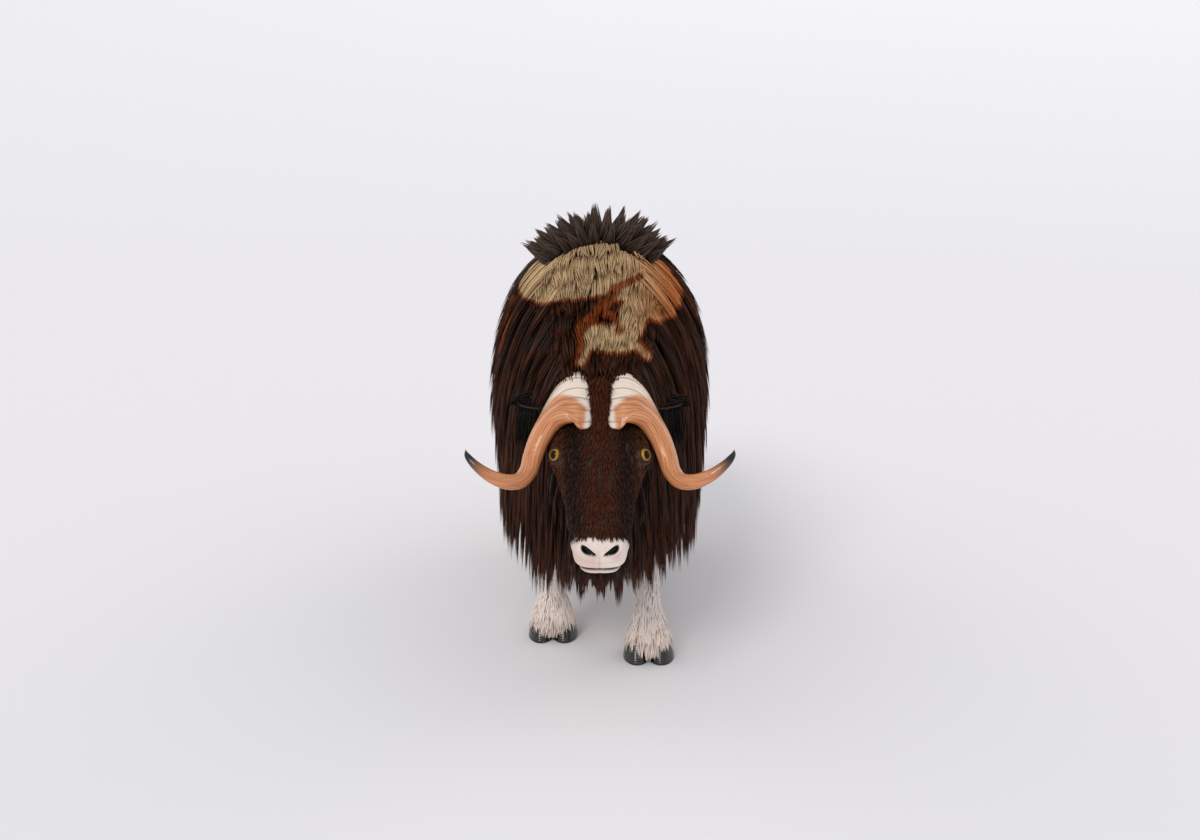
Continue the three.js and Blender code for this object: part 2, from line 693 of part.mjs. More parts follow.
// Rump: the coat that hangs over the hindquarters, round the tail
const RUMP_ROWS = [
  { height: 54, turns: [-46, 0, 46], length: 340, lift: 46 },
  { height: 26, turns: [-66, -24, 24, 66], length: 430, lift: 42 },
  { height: 0, turns: [-84, -46, 46, 84], length: 500, lift: 36 },
  { height: -14, turns: [-66, -26, 0, 26, 66], length: 430, lift: 22 },
];
function rump() {
  const locks = RUMP_ROWS.flatMap(({ height, turns, length, lift }) =>
    turns.map((turn) => {
      const up = THREE.MathUtils.degToRad(height + vary(2));
      const round = THREE.MathUtils.degToRad(turn + vary(3));
      const reach = new THREE.Vector3(
        Math.sin(round) * Math.cos(up),
        Math.cos(round) * Math.cos(up),
        Math.sin(up),
      );
      const start = new THREE.Vector3(0, RUMP_MIDDLE_Y, BARREL_AXIS_HEIGHT).addScaledVector(reach, 400);
      return coatLock({
        start,
        length: length * (1 + vary(0.1)),
        width: 142 * (1 + vary(0.08)),
        thickness: 17,
        lift: lift + vary(4),
      });
    }),
  );
  const wool = between(woolly, ALONG_Z, BARREL_AXIS_HEIGHT - 210, FAR);
  const coat = between(union([wool, ...locks]), ALONG_Y, RUMP_CUT_Y + GAP, FAR);
  return largest(coat.subtract(union([fleshClear, legsClear, tail(GAP)])));
}

// Tail: short and flat, against the rump
function tail(grow = 0) {
  return egg(new THREE.Vector3(0, 1056, 895), [34 + grow, 20 + grow, 100 + grow], new THREE.Euler(0.16, 0, 0));
}

// Neck: flesh and underwool, with locks over its top, down both sides and at the throat
const NECK_ROWS = [
  { angle: 58, length: 330, low: -600, count: 2, shift: 0.4 },
  { angle: 34, length: 380, low: -640, count: 2, shift: 0.6 },
  { angle: 8, length: 430, low: -680, count: 3, shift: 0.3 },
  { angle: -14, length: 420, low: -640, count: 2, shift: 0.6 },
];
const NECK_TOP_ROWS = [
  { angle: 72, shift: 0.4 },
  { angle: 90, shift: 0.6 },
  { angle: 108, shift: 0.4 },
];
const RUFF_ROWS = [
  { y: -680, angles: [-55, -90, -125], length: 290 },
  { y: -600, angles: [-30, -90, -150], length: 320 },
];
function neck() {
  const sides = [1, -1].flatMap((side) =>
    NECK_ROWS.flatMap((row) => lockRow({ ...row, high: NECK_CUT_Y - 8 }, side)),
  );
  const forward = new THREE.Vector3(0, -1, -0.3);
  const top = NECK_TOP_ROWS.flatMap((row) =>
    lockRow({ ...row, low: -560, high: NECK_CUT_Y, count: 2, length: 190, width: 96, pull: forward, steps: 3 }, 1),
  );
  const ruff = RUFF_ROWS.flatMap(({ y, angles, length }) =>
    angles.map((angle) => {
      const root = trunkPoint(y + vary(10), angle + vary(3), COAT_CORE);
      return bentLock({
        root,
        normal: coatNormal(root),
        length: length * (1 + vary(0.12)),
        width: 120 * (1 + vary(0.1)),
        thickness: 20,
        out: 20 + vary(6),
        sink: LOCK_SINK,
      });
    }),
  );
  const hair = between(union([...sides, ...top, ...ruff]), ALONG_Y, THROAT_Y, FAR);
  return between(union([woolly, hair]), ALONG_Y, -FAR, NECK_CUT_Y);
}

const head = headSolid();
const ears = [1, -1].map((side) => largest(ear(side).subtract(union([skullClear, ...hornsClear]))));
const earsClear = [1, -1].map((side) => ear(side, GAP));
const neckSolid = largest(neck().subtract(union([skullClear, ...hornsClear, ...earsClear, legsClear])));

// Colours and finish
const finish = (color, roughness) => new THREE.MeshStandardMaterial({ color, roughness, metalness: 0 });
const FINISHES = {
  brown: finish(0x2b160b, 0.85),
  saddle: finish(0xa58a62, 0.9),
  stocking: finish(0xe4d3c2, 0.85),
  horn: finish(0xd49a66, 0.4),
  hoof: finish(0x0b0a0a, 0.35),
  eye: finish(0x241405, 0.08),
};

const muskox = new THREE.Group();
function add(name, made, material) {
  const mesh = made.getMesh();
  const geometry = new THREE.BufferGeometry();
  geometry.setAttribute("position", new THREE.BufferAttribute(new Float32Array(mesh.vertProperties), 3));
  geometry.setIndex(new THREE.BufferAttribute(mesh.triVerts, 1));
  geometry.computeVertexNormals();
  const node = new THREE.Mesh(geometry, material);
  node.name = name;
  muskox.add(node);
}

add("head", head, FINISHES.brown);
add("neck", neckSolid, FINISHES.brown);
add("trunk", trunkNode(), FINISHES.saddle);
add("rump", rump(), FINISHES.brown);
add("tail", largest(tail().subtract(fleshClear)), FINISHES.brown);
["left", "right"].forEach((name, i) => {
  const side = i === 0 ? 1 : -1;
  add(`flank_${name}`, flank(side), FINISHES.brown);
  add(`horn_${name}`, horns[i], FINISHES.horn);
  add(`ear_${name}`, ears[i], FINISHES.brown);
  const eye = egg(new THREE.Vector3(side * EYE.x, EYE.y, EYE.z), Array(3).fill(EYE_RADIUS), undefined, 10, 6);
  add(`eye_${name}`, toWorld(eye), FINISHES.eye);
});
Object.entries(FEET).forEach(([name, foot]) => {
  const nails = [false, true].flatMap((inner) => [hoof(foot, inner, GAP), dewclaw(foot, inner, GAP)]);
  add(name, largest(legColumn(foot).subtract(union([fleshClear, ...nails]))), FINISHES.stocking);
  [false, true].forEach((inner) => {
    const place = `${name.replace("leg", "")}_${inner ? "inner" : "outer"}`;
    add(`hoof_${place}`, hoof(foot, inner), FINISHES.hoof);
    add(`dewclaw_${place}`, dewclaw(foot, inner), FINISHES.hoof);
  });
});

export default muskox;
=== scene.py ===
import math
import bmesh
import bpy
import numpy as np
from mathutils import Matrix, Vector


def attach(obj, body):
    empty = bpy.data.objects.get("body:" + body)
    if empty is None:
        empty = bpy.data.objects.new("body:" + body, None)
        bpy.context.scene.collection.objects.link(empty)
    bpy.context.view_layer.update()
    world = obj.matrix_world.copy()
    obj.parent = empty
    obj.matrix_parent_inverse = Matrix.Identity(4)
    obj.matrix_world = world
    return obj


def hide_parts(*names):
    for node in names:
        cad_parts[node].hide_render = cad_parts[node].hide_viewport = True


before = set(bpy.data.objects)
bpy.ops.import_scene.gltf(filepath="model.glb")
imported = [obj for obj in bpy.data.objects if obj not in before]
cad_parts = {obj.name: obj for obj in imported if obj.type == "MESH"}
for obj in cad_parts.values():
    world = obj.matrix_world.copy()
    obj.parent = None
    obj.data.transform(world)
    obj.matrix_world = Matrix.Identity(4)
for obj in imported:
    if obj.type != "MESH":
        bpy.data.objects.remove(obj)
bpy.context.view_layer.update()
rng = np.random.default_rng(4217)
mm = 0.001

# Shared numbers: the same tables as the solids, in millimetres
coreDepth = 28
rootRise = -24.0
halves = {"left": 1, "right": -1}
trunkTable = np.array([
    [-725, 900, 0, 0, 0], [-708, 898, 0.25, 0.14, 0.3], [-650, 890, 0.48, 0.33, 0.52],
    [-550, 882, 0.67, 0.54, 0.76], [-420, 872, 0.84, 0.82, 0.95], [-300, 862, 0.94, 0.97, 1],
    [-200, 857, 0.99, 1, 1.01], [-20, 855, 1, 0.87, 1.01], [250, 855, 1, 0.725, 1],
    [500, 855, 0.97, 0.67, 0.95], [730, 855, 0.87, 0.61, 0.84], [890, 855, 0.68, 0.5, 0.65],
    [993, 855, 0.4, 0.29, 0.37], [1030, 855, 0, 0, 0]], float)
trunkTable[:, 2] *= 312
trunkTable[:, 3] *= 1425 - 855
trunkTable[:, 4] *= 855 - 490
trunkStart, trunkEnd = trunkTable[0, 0], trunkTable[-1, 0]
trunkSquareness = 0.88
neckMiddle, rumpMiddle = -470, 700

headTop = np.array([0, -672, 966], float)
tilt = math.radians(48)
headAxes = np.array([[1, 0, 0], [0, -math.cos(tilt), math.sin(tilt)], [0, -math.sin(tilt), -math.cos(tilt)]])
headTable = np.array([
    [-40, -25, 0, 0, 0, 0.1], [-28, -25, 62, 40, 50, 0.1], [20, -20, 105, 68, 95, 0.15],
    [80, -15, 128, 80, 122, 0.2], [140, -12, 140, 80, 138, 0.26], [205, -10, 141, 74, 142, 0.3],
    [280, -8, 122, 68, 134, 0.34], [350, -6, 105, 62, 114, 0.34], [420, -5, 95, 58, 94, 0.28],
    [480, -5, 91, 55, 80, 0.2], [525, -6, 83, 48, 68, 0.14], [554, -8, 58, 34, 46, 0.1],
    [568, -9, 0, 0, 0, 0.1]], float)
headSquareness = 0.82
eyeCentre = np.array([131, 30, 220], float)
eyeRadius = 25
upInHead = [0, 0.56, -0.83]


def rowsAt(table, keys):
    # rows of a table at any keys, smooth between its rows
    keys = np.asarray(keys, float)
    x = table[:, 0]
    i = np.clip(np.searchsorted(x, keys, side="right") - 1, 0, len(x) - 2)
    a, b = table[i], table[i + 1]
    before, after = table[np.maximum(i - 1, 0)], table[np.minimum(i + 2, len(x) - 1)]
    span = b[..., :1] - a[..., :1]
    t = np.clip((keys[..., None] - a[..., :1]) / span, 0, 1)
    slopeA = (b - before) / (b[..., :1] - before[..., :1]) * span
    slopeB = (after - a) / (after[..., :1] - a[..., :1]) * span
    t2, t3 = t * t, t * t * t
    return (2 * t3 - 3 * t2 + 1) * a + (t3 - 2 * t2 + t) * slopeA + (3 * t2 - 2 * t3) * b + (t3 - t2) * slopeB


def unit(v):
    return v / np.maximum(np.linalg.norm(v, axis=-1, keepdims=True), 1e-9)


def roundPower(value, power):
    return np.sign(value) * np.abs(value) ** power


def smooth(value, low, high):
    t = np.clip((value - low) / (high - low), 0, 1)
    return t * t * (3 - 2 * t)


def bell(value, middle, width):
    return np.exp(-((value - middle) / width) ** 2)


def toWorld(points):
    return headTop + points @ headAxes


def trunkSection(y, grow):
    part = (y - trunkStart + grow) / (trunkEnd - trunkStart + 2 * grow)
    rows = rowsAt(trunkTable, trunkStart + (trunkEnd - trunkStart) * np.clip(part, 0, 1))
    return rows[..., 1], np.maximum(rows[..., 2], 0), np.maximum(rows[..., 3], 0), np.maximum(rows[..., 4], 0)


def trunkPoint(y, angle, grow):
    axis, width, rise, drop = trunkSection(y, grow)
    c = roundPower(np.cos(np.radians(angle)), trunkSquareness)
    s = roundPower(np.sin(np.radians(angle)), trunkSquareness)
    height = np.where(s > 0, rise, drop) + grow
    return np.stack([(width + grow) * c, y + 0 * c, axis + height * s], -1)


def coatLevel(p):
    axis, width, rise, drop = trunkSection(p[..., 1], coreDepth)
    power = 2 / trunkSquareness
    height = np.where(p[..., 2] > axis, rise, drop) + coreDepth
    level = (np.abs(p[..., 0]) / (width + coreDepth)) ** power + (np.abs(p[..., 2] - axis) / height) ** power
    beyond = np.maximum(trunkStart - p[..., 1], p[..., 1] - trunkEnd) >= coreDepth
    return np.where(beyond, 3.0, np.minimum(level, 3.0))


def coatNormal(p):
    slope = []
    for axis in range(3):
        step = np.zeros(3)
        step[axis] = 6
        slope.append(coatLevel(p + step) - coatLevel(p - step))
    return unit(np.stack(slope, -1))


def ontoCoat(p):
    middle = np.zeros_like(p)
    middle[..., 1] = np.clip(p[..., 1], neckMiddle, rumpMiddle)
    middle[..., 2] = trunkSection(middle[..., 1], coreDepth)[0]
    ray = unit(p - middle)
    inside, outside = np.full(p.shape[:-1], 20.0), np.full(p.shape[:-1], 700.0)
    for _ in range(20):
        half = (inside + outside) / 2
        isIn = coatLevel(middle + ray * half[..., None]) < 1
        inside, outside = np.where(isIn, half, inside), np.where(isIn, outside, half)
    return middle + ray * inside[..., None]


def headPoint(s, angle):
    rows = rowsAt(headTable, s)
    centre, width, rise, drop, pinch = [rows[..., i] for i in range(1, 6)]
    c = roundPower(np.cos(np.radians(angle)), headSquareness)
    n = roundPower(np.sin(np.radians(angle)), headSquareness)
    narrowed = 1 - pinch * np.maximum(0, -n)
    rise, drop = np.maximum(rise, 0), np.maximum(drop, 0)
    lateral = np.maximum(width, 0) * c * narrowed
    return np.stack([lateral, centre + np.where(n > 0, rise, drop) * n, s + 0 * c], -1)


# Meshes from arrays
def meshObject(name, points, faces):
    mesh = bpy.data.meshes.new(name)
    mesh.from_pydata((points * mm).tolist(), [], faces.tolist() if hasattr(faces, "tolist") else faces)
    mesh.polygons.foreach_set("use_smooth", [True] * len(mesh.polygons))
    made = bpy.data.objects.new(name, mesh)
    bpy.context.scene.collection.objects.link(made)
    return made


def around(count, whole=2 * math.pi):
    return np.linspace(0, whole, count, endpoint=False)


def crossed(rings, turns):
    return np.meshgrid(rings, turns, indexing="ij")


def gridFaces(rings, sides):
    # quads round a tube of rings by sides, open at both ends
    r, c = crossed(np.arange(rings - 1), np.arange(sides))
    nextC = (c + 1) % sides
    quads = np.stack([r * sides + c, r * sides + nextC, (r + 1) * sides + nextC, (r + 1) * sides + c], -1)
    return quads.reshape(-1, 4).tolist()


def loftFaces(rings, sides):
    # the tube with a fan to one vertex at each end
    faces = gridFaces(rings, sides)
    first, last = rings * sides, rings * sides + 1
    top = (rings - 1) * sides
    faces += [[first, (c + 1) % sides, c] for c in range(sides)]
    faces += [[last, top + c, top + (c + 1) % sides] for c in range(sides)]
    return faces


def loft(points):
    # closed surface through rings of points, from an array of rings by sides by 3
    rings, sides, _ = points.shape
    ends = np.stack([points[0].mean(0), points[-1].mean(0)])
    return np.concatenate([points.reshape(-1, 3), ends]), loftFaces(rings, sides)


def joined(parts):
    points, faces, offset = [], [], 0
    for p, f in parts:
        points.append(p)
        faces += [[i + offset for i in face] for face in f]
        offset += len(p)
    return np.concatenate(points), faces


def faceOutward(made):
    bm = bmesh.new()
    bm.from_mesh(made.data)
    bmesh.ops.recalc_face_normals(bm, faces=bm.faces)
    bm.to_mesh(made.data)
    bm.free()


def sphere(sides, rings):
    bm = bmesh.new()
    bmesh.ops.create_uvsphere(bm, u_segments=sides, v_segments=rings, radius=1.0)
    points = np.array([v.co[:] for v in bm.verts])
    faces = [[v.index for v in f.verts] for f in bm.faces]
    bm.free()
    return points, faces


def setVector(mesh, name, values):
    made = mesh.attributes.new(name, "FLOAT_VECTOR", "POINT")
    made.data.foreach_set("vector", values.astype(np.float32).ravel())


def setFloat(mesh, name, values):
    made = mesh.attributes.new(name, "FLOAT", "POINT")
    made.data.foreach_set("value", values.astype(np.float32).ravel())


# Shader maths
class Value:
    def __init__(self, tree, socket):
        self.tree = tree
        self.socket = socket

    def node(self, kind, inputs=(), output=0, **settings):
        made = self.tree.nodes.new(kind)
        for key, value in settings.items():
            setattr(made, key, value)
        pairs = inputs.items() if isinstance(inputs, dict) else enumerate(inputs)
        for index, value in pairs:
            if isinstance(value, Value):
                self.tree.links.new(value.socket, made.inputs[index])
            else:
                made.inputs[index].default_value = value
        return Value(self.tree, made.outputs[output])

    def maths(self, operation, *others):
        return self.node("ShaderNodeMath", (self, *others), operation=operation)

    def __add__(self, other):
        return self.maths("ADD", other)

    __radd__ = __add__

    def __mul__(self, other):
        return self.maths("MULTIPLY", other)

    __rmul__ = __mul__

    def __neg__(self):
        return self * -1

    def __sub__(self, other):
        return self.maths("SUBTRACT", other)

    def __rsub__(self, other):
        return -self + other

    def __truediv__(self, other):
        return self.maths("DIVIDE", other)

    def __rtruediv__(self, other):
        return (self ** -1) * other

    def __pow__(self, other):
        return self.maths("POWER", other)

    def least(self, other):
        return self.maths("MINIMUM", other)

    def most(self, other):
        return self.maths("MAXIMUM", other)

    def ramp(self, low, high):
        return self.node("ShaderNodeMapRange", {0: self, 1: low, 2: high, 3: 0.0, 4: 1.0},
                         interpolation_type="SMOOTHSTEP")

    def part(self, index):
        return self.node("ShaderNodeSeparateXYZ", (self,), output=index)

    def noise(self, scale, detail=3.0):
        return self.node("ShaderNodeTexNoise", {"Vector": self, "Scale": scale, "Detail": detail})

    def between(self, colourA, colourB):
        # colour A where this value is 0 and colour B where it is 1
        return self.node("ShaderNodeMix", {0: self, 6: colourA, 7: colourB}, output=2, data_type="RGBA")


def colour(code):
    parts = [int(code[i:i + 2], 16) / 255 for i in (0, 2, 4)]
    return tuple(c / 12.92 if c <= 0.04045 else ((c + 0.055) / 1.055) ** 2.4 for c in parts) + (1.0,)


def material(name, **constants):
    made = bpy.data.materials.new(name)
    made.use_nodes = True
    shader = made.node_tree.nodes["Principled BSDF"]
    for key, value in constants.items():
        shader.inputs[key.replace("_", " ")].default_value = value
    return made, shader


def place(made):
    # object coordinates as a value
    tree = made.node_tree
    return Value(tree, tree.nodes.new("ShaderNodeTexCoord").outputs["Object"])


def attribute(made, name, output=1):
    tree = made.node_tree
    node = tree.nodes.new("ShaderNodeAttribute")
    node.attribute_name = name
    return Value(tree, node.outputs[output])


def plug(value, shader, socket):
    value.tree.links.new(value.socket, shader.inputs[socket])


def bump(value, shader, strength, distance):
    made = value.node("ShaderNodeBump", {"Height": value, "Strength": strength, "Distance": distance})
    plug(made, shader, "Normal")


# Markings: the saddle over the shoulders, drawn with rounded segments seen from the front
frontPatches = [
    ((-0.21, 0, 1.345), (0.0, 0, 1.375), 0.092),
    ((0.0, 0, 1.38), (0.16, 0, 1.335), 0.092),
    ((0.15, 0, 1.31), (0.20, 0, 1.275), 0.075),
    ((0.13, 0, 1.27), (0.08, 0, 1.175), 0.05),
    ((-0.02, 0, 1.165), (0.09, 0, 1.163), 0.037),
    ((0.11, 0, 1.15), (0.152, 0, 1.108), 0.013),
    ((-0.035, 0, 1.15), (-0.06, 0, 1.098), 0.014),
]
backPatches = [
    ((0.0, -0.15, 1.44), (0.0, 0.12, 1.385), 0.2),
    ((0.0, 0.12, 1.385), (0.0, 0.4, 1.31), 0.135),
]
rustStreaks = [
    ((0.135, 0, 1.34), (0.05, 0, 1.305), 0.009),
    ((0.05, 0, 1.3), (-0.005, 0, 1.24), 0.018),
    ((-0.005, 0, 1.238), (-0.065, 0, 1.19), 0.015),
    ((-0.065, 0, 1.19), (-0.062, 0, 1.12), 0.01),
    ((0.0, 0, 1.236), (0.05, 0, 1.226), 0.01),
    ((0.05, 0, 1.226), (0.062, 0, 1.185), 0.009),
    ((-0.295, 0, 1.25), (-0.345, 0, 1.08), 0.012),
]
coatColours = {"deep": "170b05", "warm": "3f1f0d", "glint": "8a4316", "tan": "ad8f66", "light": "cfb289",
               "orange": "b5642a", "rust": "82380f"}


def reach(point, patch):
    # distance outside a rounded segment
    a, b, radius = patch
    line = [b[i] - a[i] for i in range(3)]
    square = sum(v * v for v in line)
    fromA = point.node("ShaderNodeVectorMath", (point, a), operation="SUBTRACT")
    along = point.node("ShaderNodeVectorMath", (fromA, line), output=1, operation="DOT_PRODUCT")
    share = (along * (1 / square)).most(0.0).least(1.0)
    near = point.node("ShaderNodeVectorMath", {0: line, 3: share}, operation="SCALE")
    gone = point.node("ShaderNodeVectorMath", (fromA, near), operation="SUBTRACT")
    return point.node("ShaderNodeVectorMath", (gone,), output=1, operation="LENGTH") - radius


def nearest(point, patches):
    best = reach(point, patches[0])
    for patch in patches[1:]:
        best = best.least(reach(point, patch))
    return best


def bodyColour(point, shade, tipness):
    # coat colour of a place on the animal: shade varies hair by hair, tipness runs to the tip
    flat = point.node("ShaderNodeVectorMath", (point, (1.0, 0.0, 1.0)), operation="MULTIPLY")
    wobble = (point.noise(9.0) - 0.5) * 0.014 + (shade - 0.5) * 0.008
    behind = (point.part(1) + 0.35).most(0.0) * 0.8
    front = nearest(flat, frontPatches) + wobble + behind
    back = nearest(point, backPatches) + wobble * 3 + (point.noise(5.0) - 0.5) * 0.11
    pale = front.least(back)
    streak = nearest(flat, rustStreaks) + wobble * 0.6 + behind * 0.6
    isPale = 1 - pale.ramp(-0.003, 0.003)
    edge = 1 - pale.maths("ABSOLUTE").ramp(0.002, 0.007)
    isRust = edge.most(1 - streak.ramp(-0.004, 0.006))
    warm = point.part(0).ramp(0.07, 0.25) * (1 - point.part(1).ramp(-0.3, 0.1)) * 0.9
    tan = (shade * 0.8 + tipness * 0.2).between(colour(coatColours["tan"]), colour(coatColours["light"]))
    tan = warm.between(tan, colour(coatColours["orange"]))
    brown = (shade * 0.7 + point.noise(3.0) * 0.4 - 0.2).ramp(0.0, 1.0).between(
        colour(coatColours["deep"]), colour(coatColours["warm"]))
    glint = ((tipness - 0.6) * 2).most(0.0) * shade
    brown = (glint * 0.6).between(brown, colour(coatColours["glint"]))
    rust = shade.between(colour(coatColours["rust"]), colour(coatColours["glint"]))
    return (isRust * 0.9).between(isPale.between(brown, tan), rust)


# Tufts: closed, flat, tapered blades from arrays of paths
taper = np.array([[0, 0.75], [0.2, 1], [0.45, 0.92], [0.7, 0.66], [0.88, 0.34], [1, 0]])


def tuftObject(name, paths, normals, widths, thickness, shades, unwrap, finish):
    count, steps = paths.shape[0], paths.shape[1] - 1
    parts = np.linspace(0, 1, steps + 1)
    share = np.interp(parts, taper[:, 0], taper[:, 1])
    along = unit(np.gradient(paths, axis=1))
    outward = unit(normals - along * (normals * along).sum(-1, keepdims=True))
    across = np.cross(along, outward)
    half = (widths[:, None] * share)[..., None] / 2
    thick = (thickness * np.sqrt(share))[:, None]
    left, right = paths - across * half, paths + across * half
    crest = paths + outward * thick
    body = np.stack([left, crest, right], 2)[:, :-1]
    points = np.concatenate([body.reshape(count, -1, 3), paths[:, -1:]], 1)
    perTuft = points.shape[1]
    faces = [[0, 2, 1]]
    for k in range(steps - 1):
        for c in range(3):
            a, b = 3 * k + c, 3 * k + (c + 1) % 3
            faces += [[a, b, b + 3], [a, b + 3, a + 3]]
    tip = 3 * steps
    faces += [[tip - 3 + c, tip - 3 + (c + 1) % 3, tip] for c in range(3)]
    faces = np.array(faces)
    allFaces = (np.arange(count)[:, None, None] * perTuft + faces).reshape(-1, 3)
    made = meshObject(name, points.reshape(-1, 3), allFaces)
    mesh = made.data
    setFloat(mesh, "shade", np.repeat(shades, perTuft))
    partOf = np.append(np.repeat(parts[:-1], 3), 1.0)
    setFloat(mesh, "part", np.tile(partOf, count))
    sideOf = np.append(np.tile([0.0, 0.5, 1.0], steps), 0.5)
    local = np.stack([sideOf, partOf], -1) * 0.003
    spots = (np.clip(unwrap, 0.004, 0.99)[:, None] + local).reshape(-1, 2)
    layer = mesh.uv_layers.new(name="OFBake")
    layer.data.foreach_set("uv", spots[allFaces.ravel()].astype(np.float32).ravel())
    mesh.materials.append(finish)
    print(name, len(allFaces), "triangles")
    return made


def clumped(paths, normals, perClump, halfWidth, depth, steps, spreadTip=0.15, lengths=(0.74, 1.04),
            wave=3.0):
    # several strands about each guide path, drawn together towards its tip
    count = paths.shape[0]
    old = np.linspace(0, 1, paths.shape[1])
    reachOf = rng.uniform(*lengths, (count, perClump))
    parts = np.linspace(0, 1, steps + 1)[None, None] * reachOf[..., None]
    index = np.clip(parts * (len(old) - 1), 0, len(old) - 1.001)
    low = index.astype(int)
    mix = (parts * (len(old) - 1) - low)[..., None]
    guide = np.arange(count)[:, None, None]
    p = paths[guide, low] * (1 - mix) + paths[guide, low + 1] * mix
    n = unit(normals[guide, low] * (1 - mix) + normals[guide, low + 1] * mix)
    along = unit(np.gradient(p, axis=2))
    across = np.cross(along, n)
    a = rng.uniform(-1, 1, (count, perClump))[..., None]
    b = rng.uniform(-0.4, 1, (count, perClump))[..., None]
    t = parts / 1.04
    hold = 1 - (1 - spreadTip) * t ** 1.3
    phase = rng.uniform(0, 6.28, (count, perClump, 1))
    sway = np.sin(phase + t * rng.uniform(3, 7, (count, perClump, 1))) * wave * t
    sideways = a * hold * halfWidth + sway
    raised = b * depth * np.sqrt(hold) * np.minimum(1, t * 6 + 0.1)
    made = p + (across * sideways[..., None] + n * raised[..., None])
    return made.reshape(-1, steps + 1, 3), n.reshape(-1, steps + 1, 3)


def coatGuides(starts, pull, length, lift, steps):
    # paths that follow the coat from their starts and hang where it turns under
    at = ontoCoat(starts)
    normal = coatNormal(at)
    hanging = np.zeros(len(at), bool)
    points, normals = [], []
    step = (length / steps)[:, None]
    for k in range(steps + 1):
        fresh = coatNormal(at)
        normal = np.where(hanging[:, None], normal, fresh)
        hanging |= (pull[:, 2] < -0.5) & (normal[:, 2] < -0.1)
        level = normal.copy()
        level[:, 2] = 0
        normal = np.where(hanging[:, None], unit(level), normal)
        t = k / steps
        rise = rootRise + (lift - rootRise) * t ** 0.75
        points.append(at + normal * rise[:, None])
        normals.append(normal)
        flow = np.where(hanging[:, None], np.array([0, 0, -1.0]) - normal * 0.06 + pull * [0, 0.6, 0],
                        pull - normal * (normal * pull).sum(-1, keepdims=True))
        at = at + unit(flow) * step
        at = np.where(hanging[:, None], at, ontoCoat(at))
    return np.stack(points, 1), np.stack(normals, 1)


def trunkUnwrap(roots):
    axis = trunkSection(roots[:, 1], coreDepth)[0]
    u = np.arctan2(roots[:, 2] - axis, roots[:, 0]) / (2 * math.pi) + 0.5
    return np.stack([u, (roots[:, 1] + 760) / 1820], -1)


def rowGuides(angles, low, high, pitch, length, lift, pull=None, side=1, jitter=0.35):
    starts, lengths, lifts = [], [], []
    for row, angle in enumerate(angles):
        shift = 0.5 * (row % 2)
        y = np.arange(low + shift * pitch, high, pitch)
        y = y + rng.uniform(-jitter, jitter, len(y)) * pitch
        p = trunkPoint(y, angle + rng.uniform(-2, 2, len(y)), coreDepth)
        p[:, 0] *= side
        starts.append(p)
        lengths.append(length(angle) * rng.uniform(0.86, 1.1, len(y)))
        lifts.append(lift(angle) + rng.uniform(-6, 8, len(y)))
    starts = np.concatenate(starts)
    sweep = rng.uniform(0, 0.14, len(starts))
    if pull is None:
        pulls = np.stack([0 * sweep, sweep, -1 + 0 * sweep], -1)
    else:
        pulls = np.tile(pull, (len(starts), 1))
    return starts, pulls, np.concatenate(lengths), np.concatenate(lifts)


# Coat finishes
def coatMaterial(name, colourOf):
    made, shader = material(name, Roughness=0.55, Specular_IOR_Level=0.2)
    shade = attribute(made, "shade", 2)
    tipness = attribute(made, "part", 2)
    plug(colourOf(place(made), shade, tipness), shader, "Base Color")
    plug(0.62 - shade * 0.2, shader, "Roughness")
    return made


coatFinish = coatMaterial("coatHair", bodyColour)
print("materials ready")


# Skin of the body: trunk, neck, legs and tail in one surface
legTables = {
    "fore": [[36, 0, -2, 77, 72], [76, 0, 4, 81, 74], [120, 0, 12, 68, 62], [170, 0, 18, 53, 51],
             [230, 0, 22, 46, 45], [300, 0, 22, 48, 47], [360, 0, 18, 51, 55], [430, 0, 26, 56, 66],
             [500, 0, 36, 64, 88], [570, 0, 42, 70, 104], [700, 0, 46, 70, 108]],
    "hind": [[36, 0, -2, 76, 72], [76, 0, 6, 80, 72], [120, 0, 20, 66, 60], [170, -2, 34, 51, 50],
             [240, -6, 50, 45, 45], [320, -12, 64, 46, 51], [390, -18, 76, 50, 64], [450, -25, 70, 55, 78],
             [530, -40, 42, 64, 102], [620, -56, 8, 74, 126], [740, -64, -6, 78, 130]],
}
feet = {
    "fore_left": {"kind": "fore", "side": 1, "x": 170, "y": -445, "lean": 0.24},
    "fore_right": {"kind": "fore", "side": -1, "x": 170, "y": -255, "lean": -0.1},
    "hind_left": {"kind": "hind", "side": 1, "x": 228, "y": 690, "lean": 0.0},
    "hind_right": {"kind": "hind", "side": -1, "x": 228, "y": 722, "lean": -0.05},
}


def legRows(foot):
    rows = np.array(legTables[foot["kind"]], float)
    rows[:, 1] = foot["side"] * (foot["x"] + rows[:, 1])
    rows[:, 2] += foot["y"] + foot["lean"] * (rows[:, 0] - rows[0, 0])
    return rows


def legPoint(rows, z, angle, inset):
    r = rowsAt(rows, z)
    turn = np.radians(angle)
    x = r[..., 1] + np.cos(turn) * (r[..., 3] - inset)
    y = r[..., 2] + np.sin(turn) * (r[..., 4] - inset)
    return np.stack([x, y, z], -1)


skinDepth = 9  # hair outside the skin of the legs


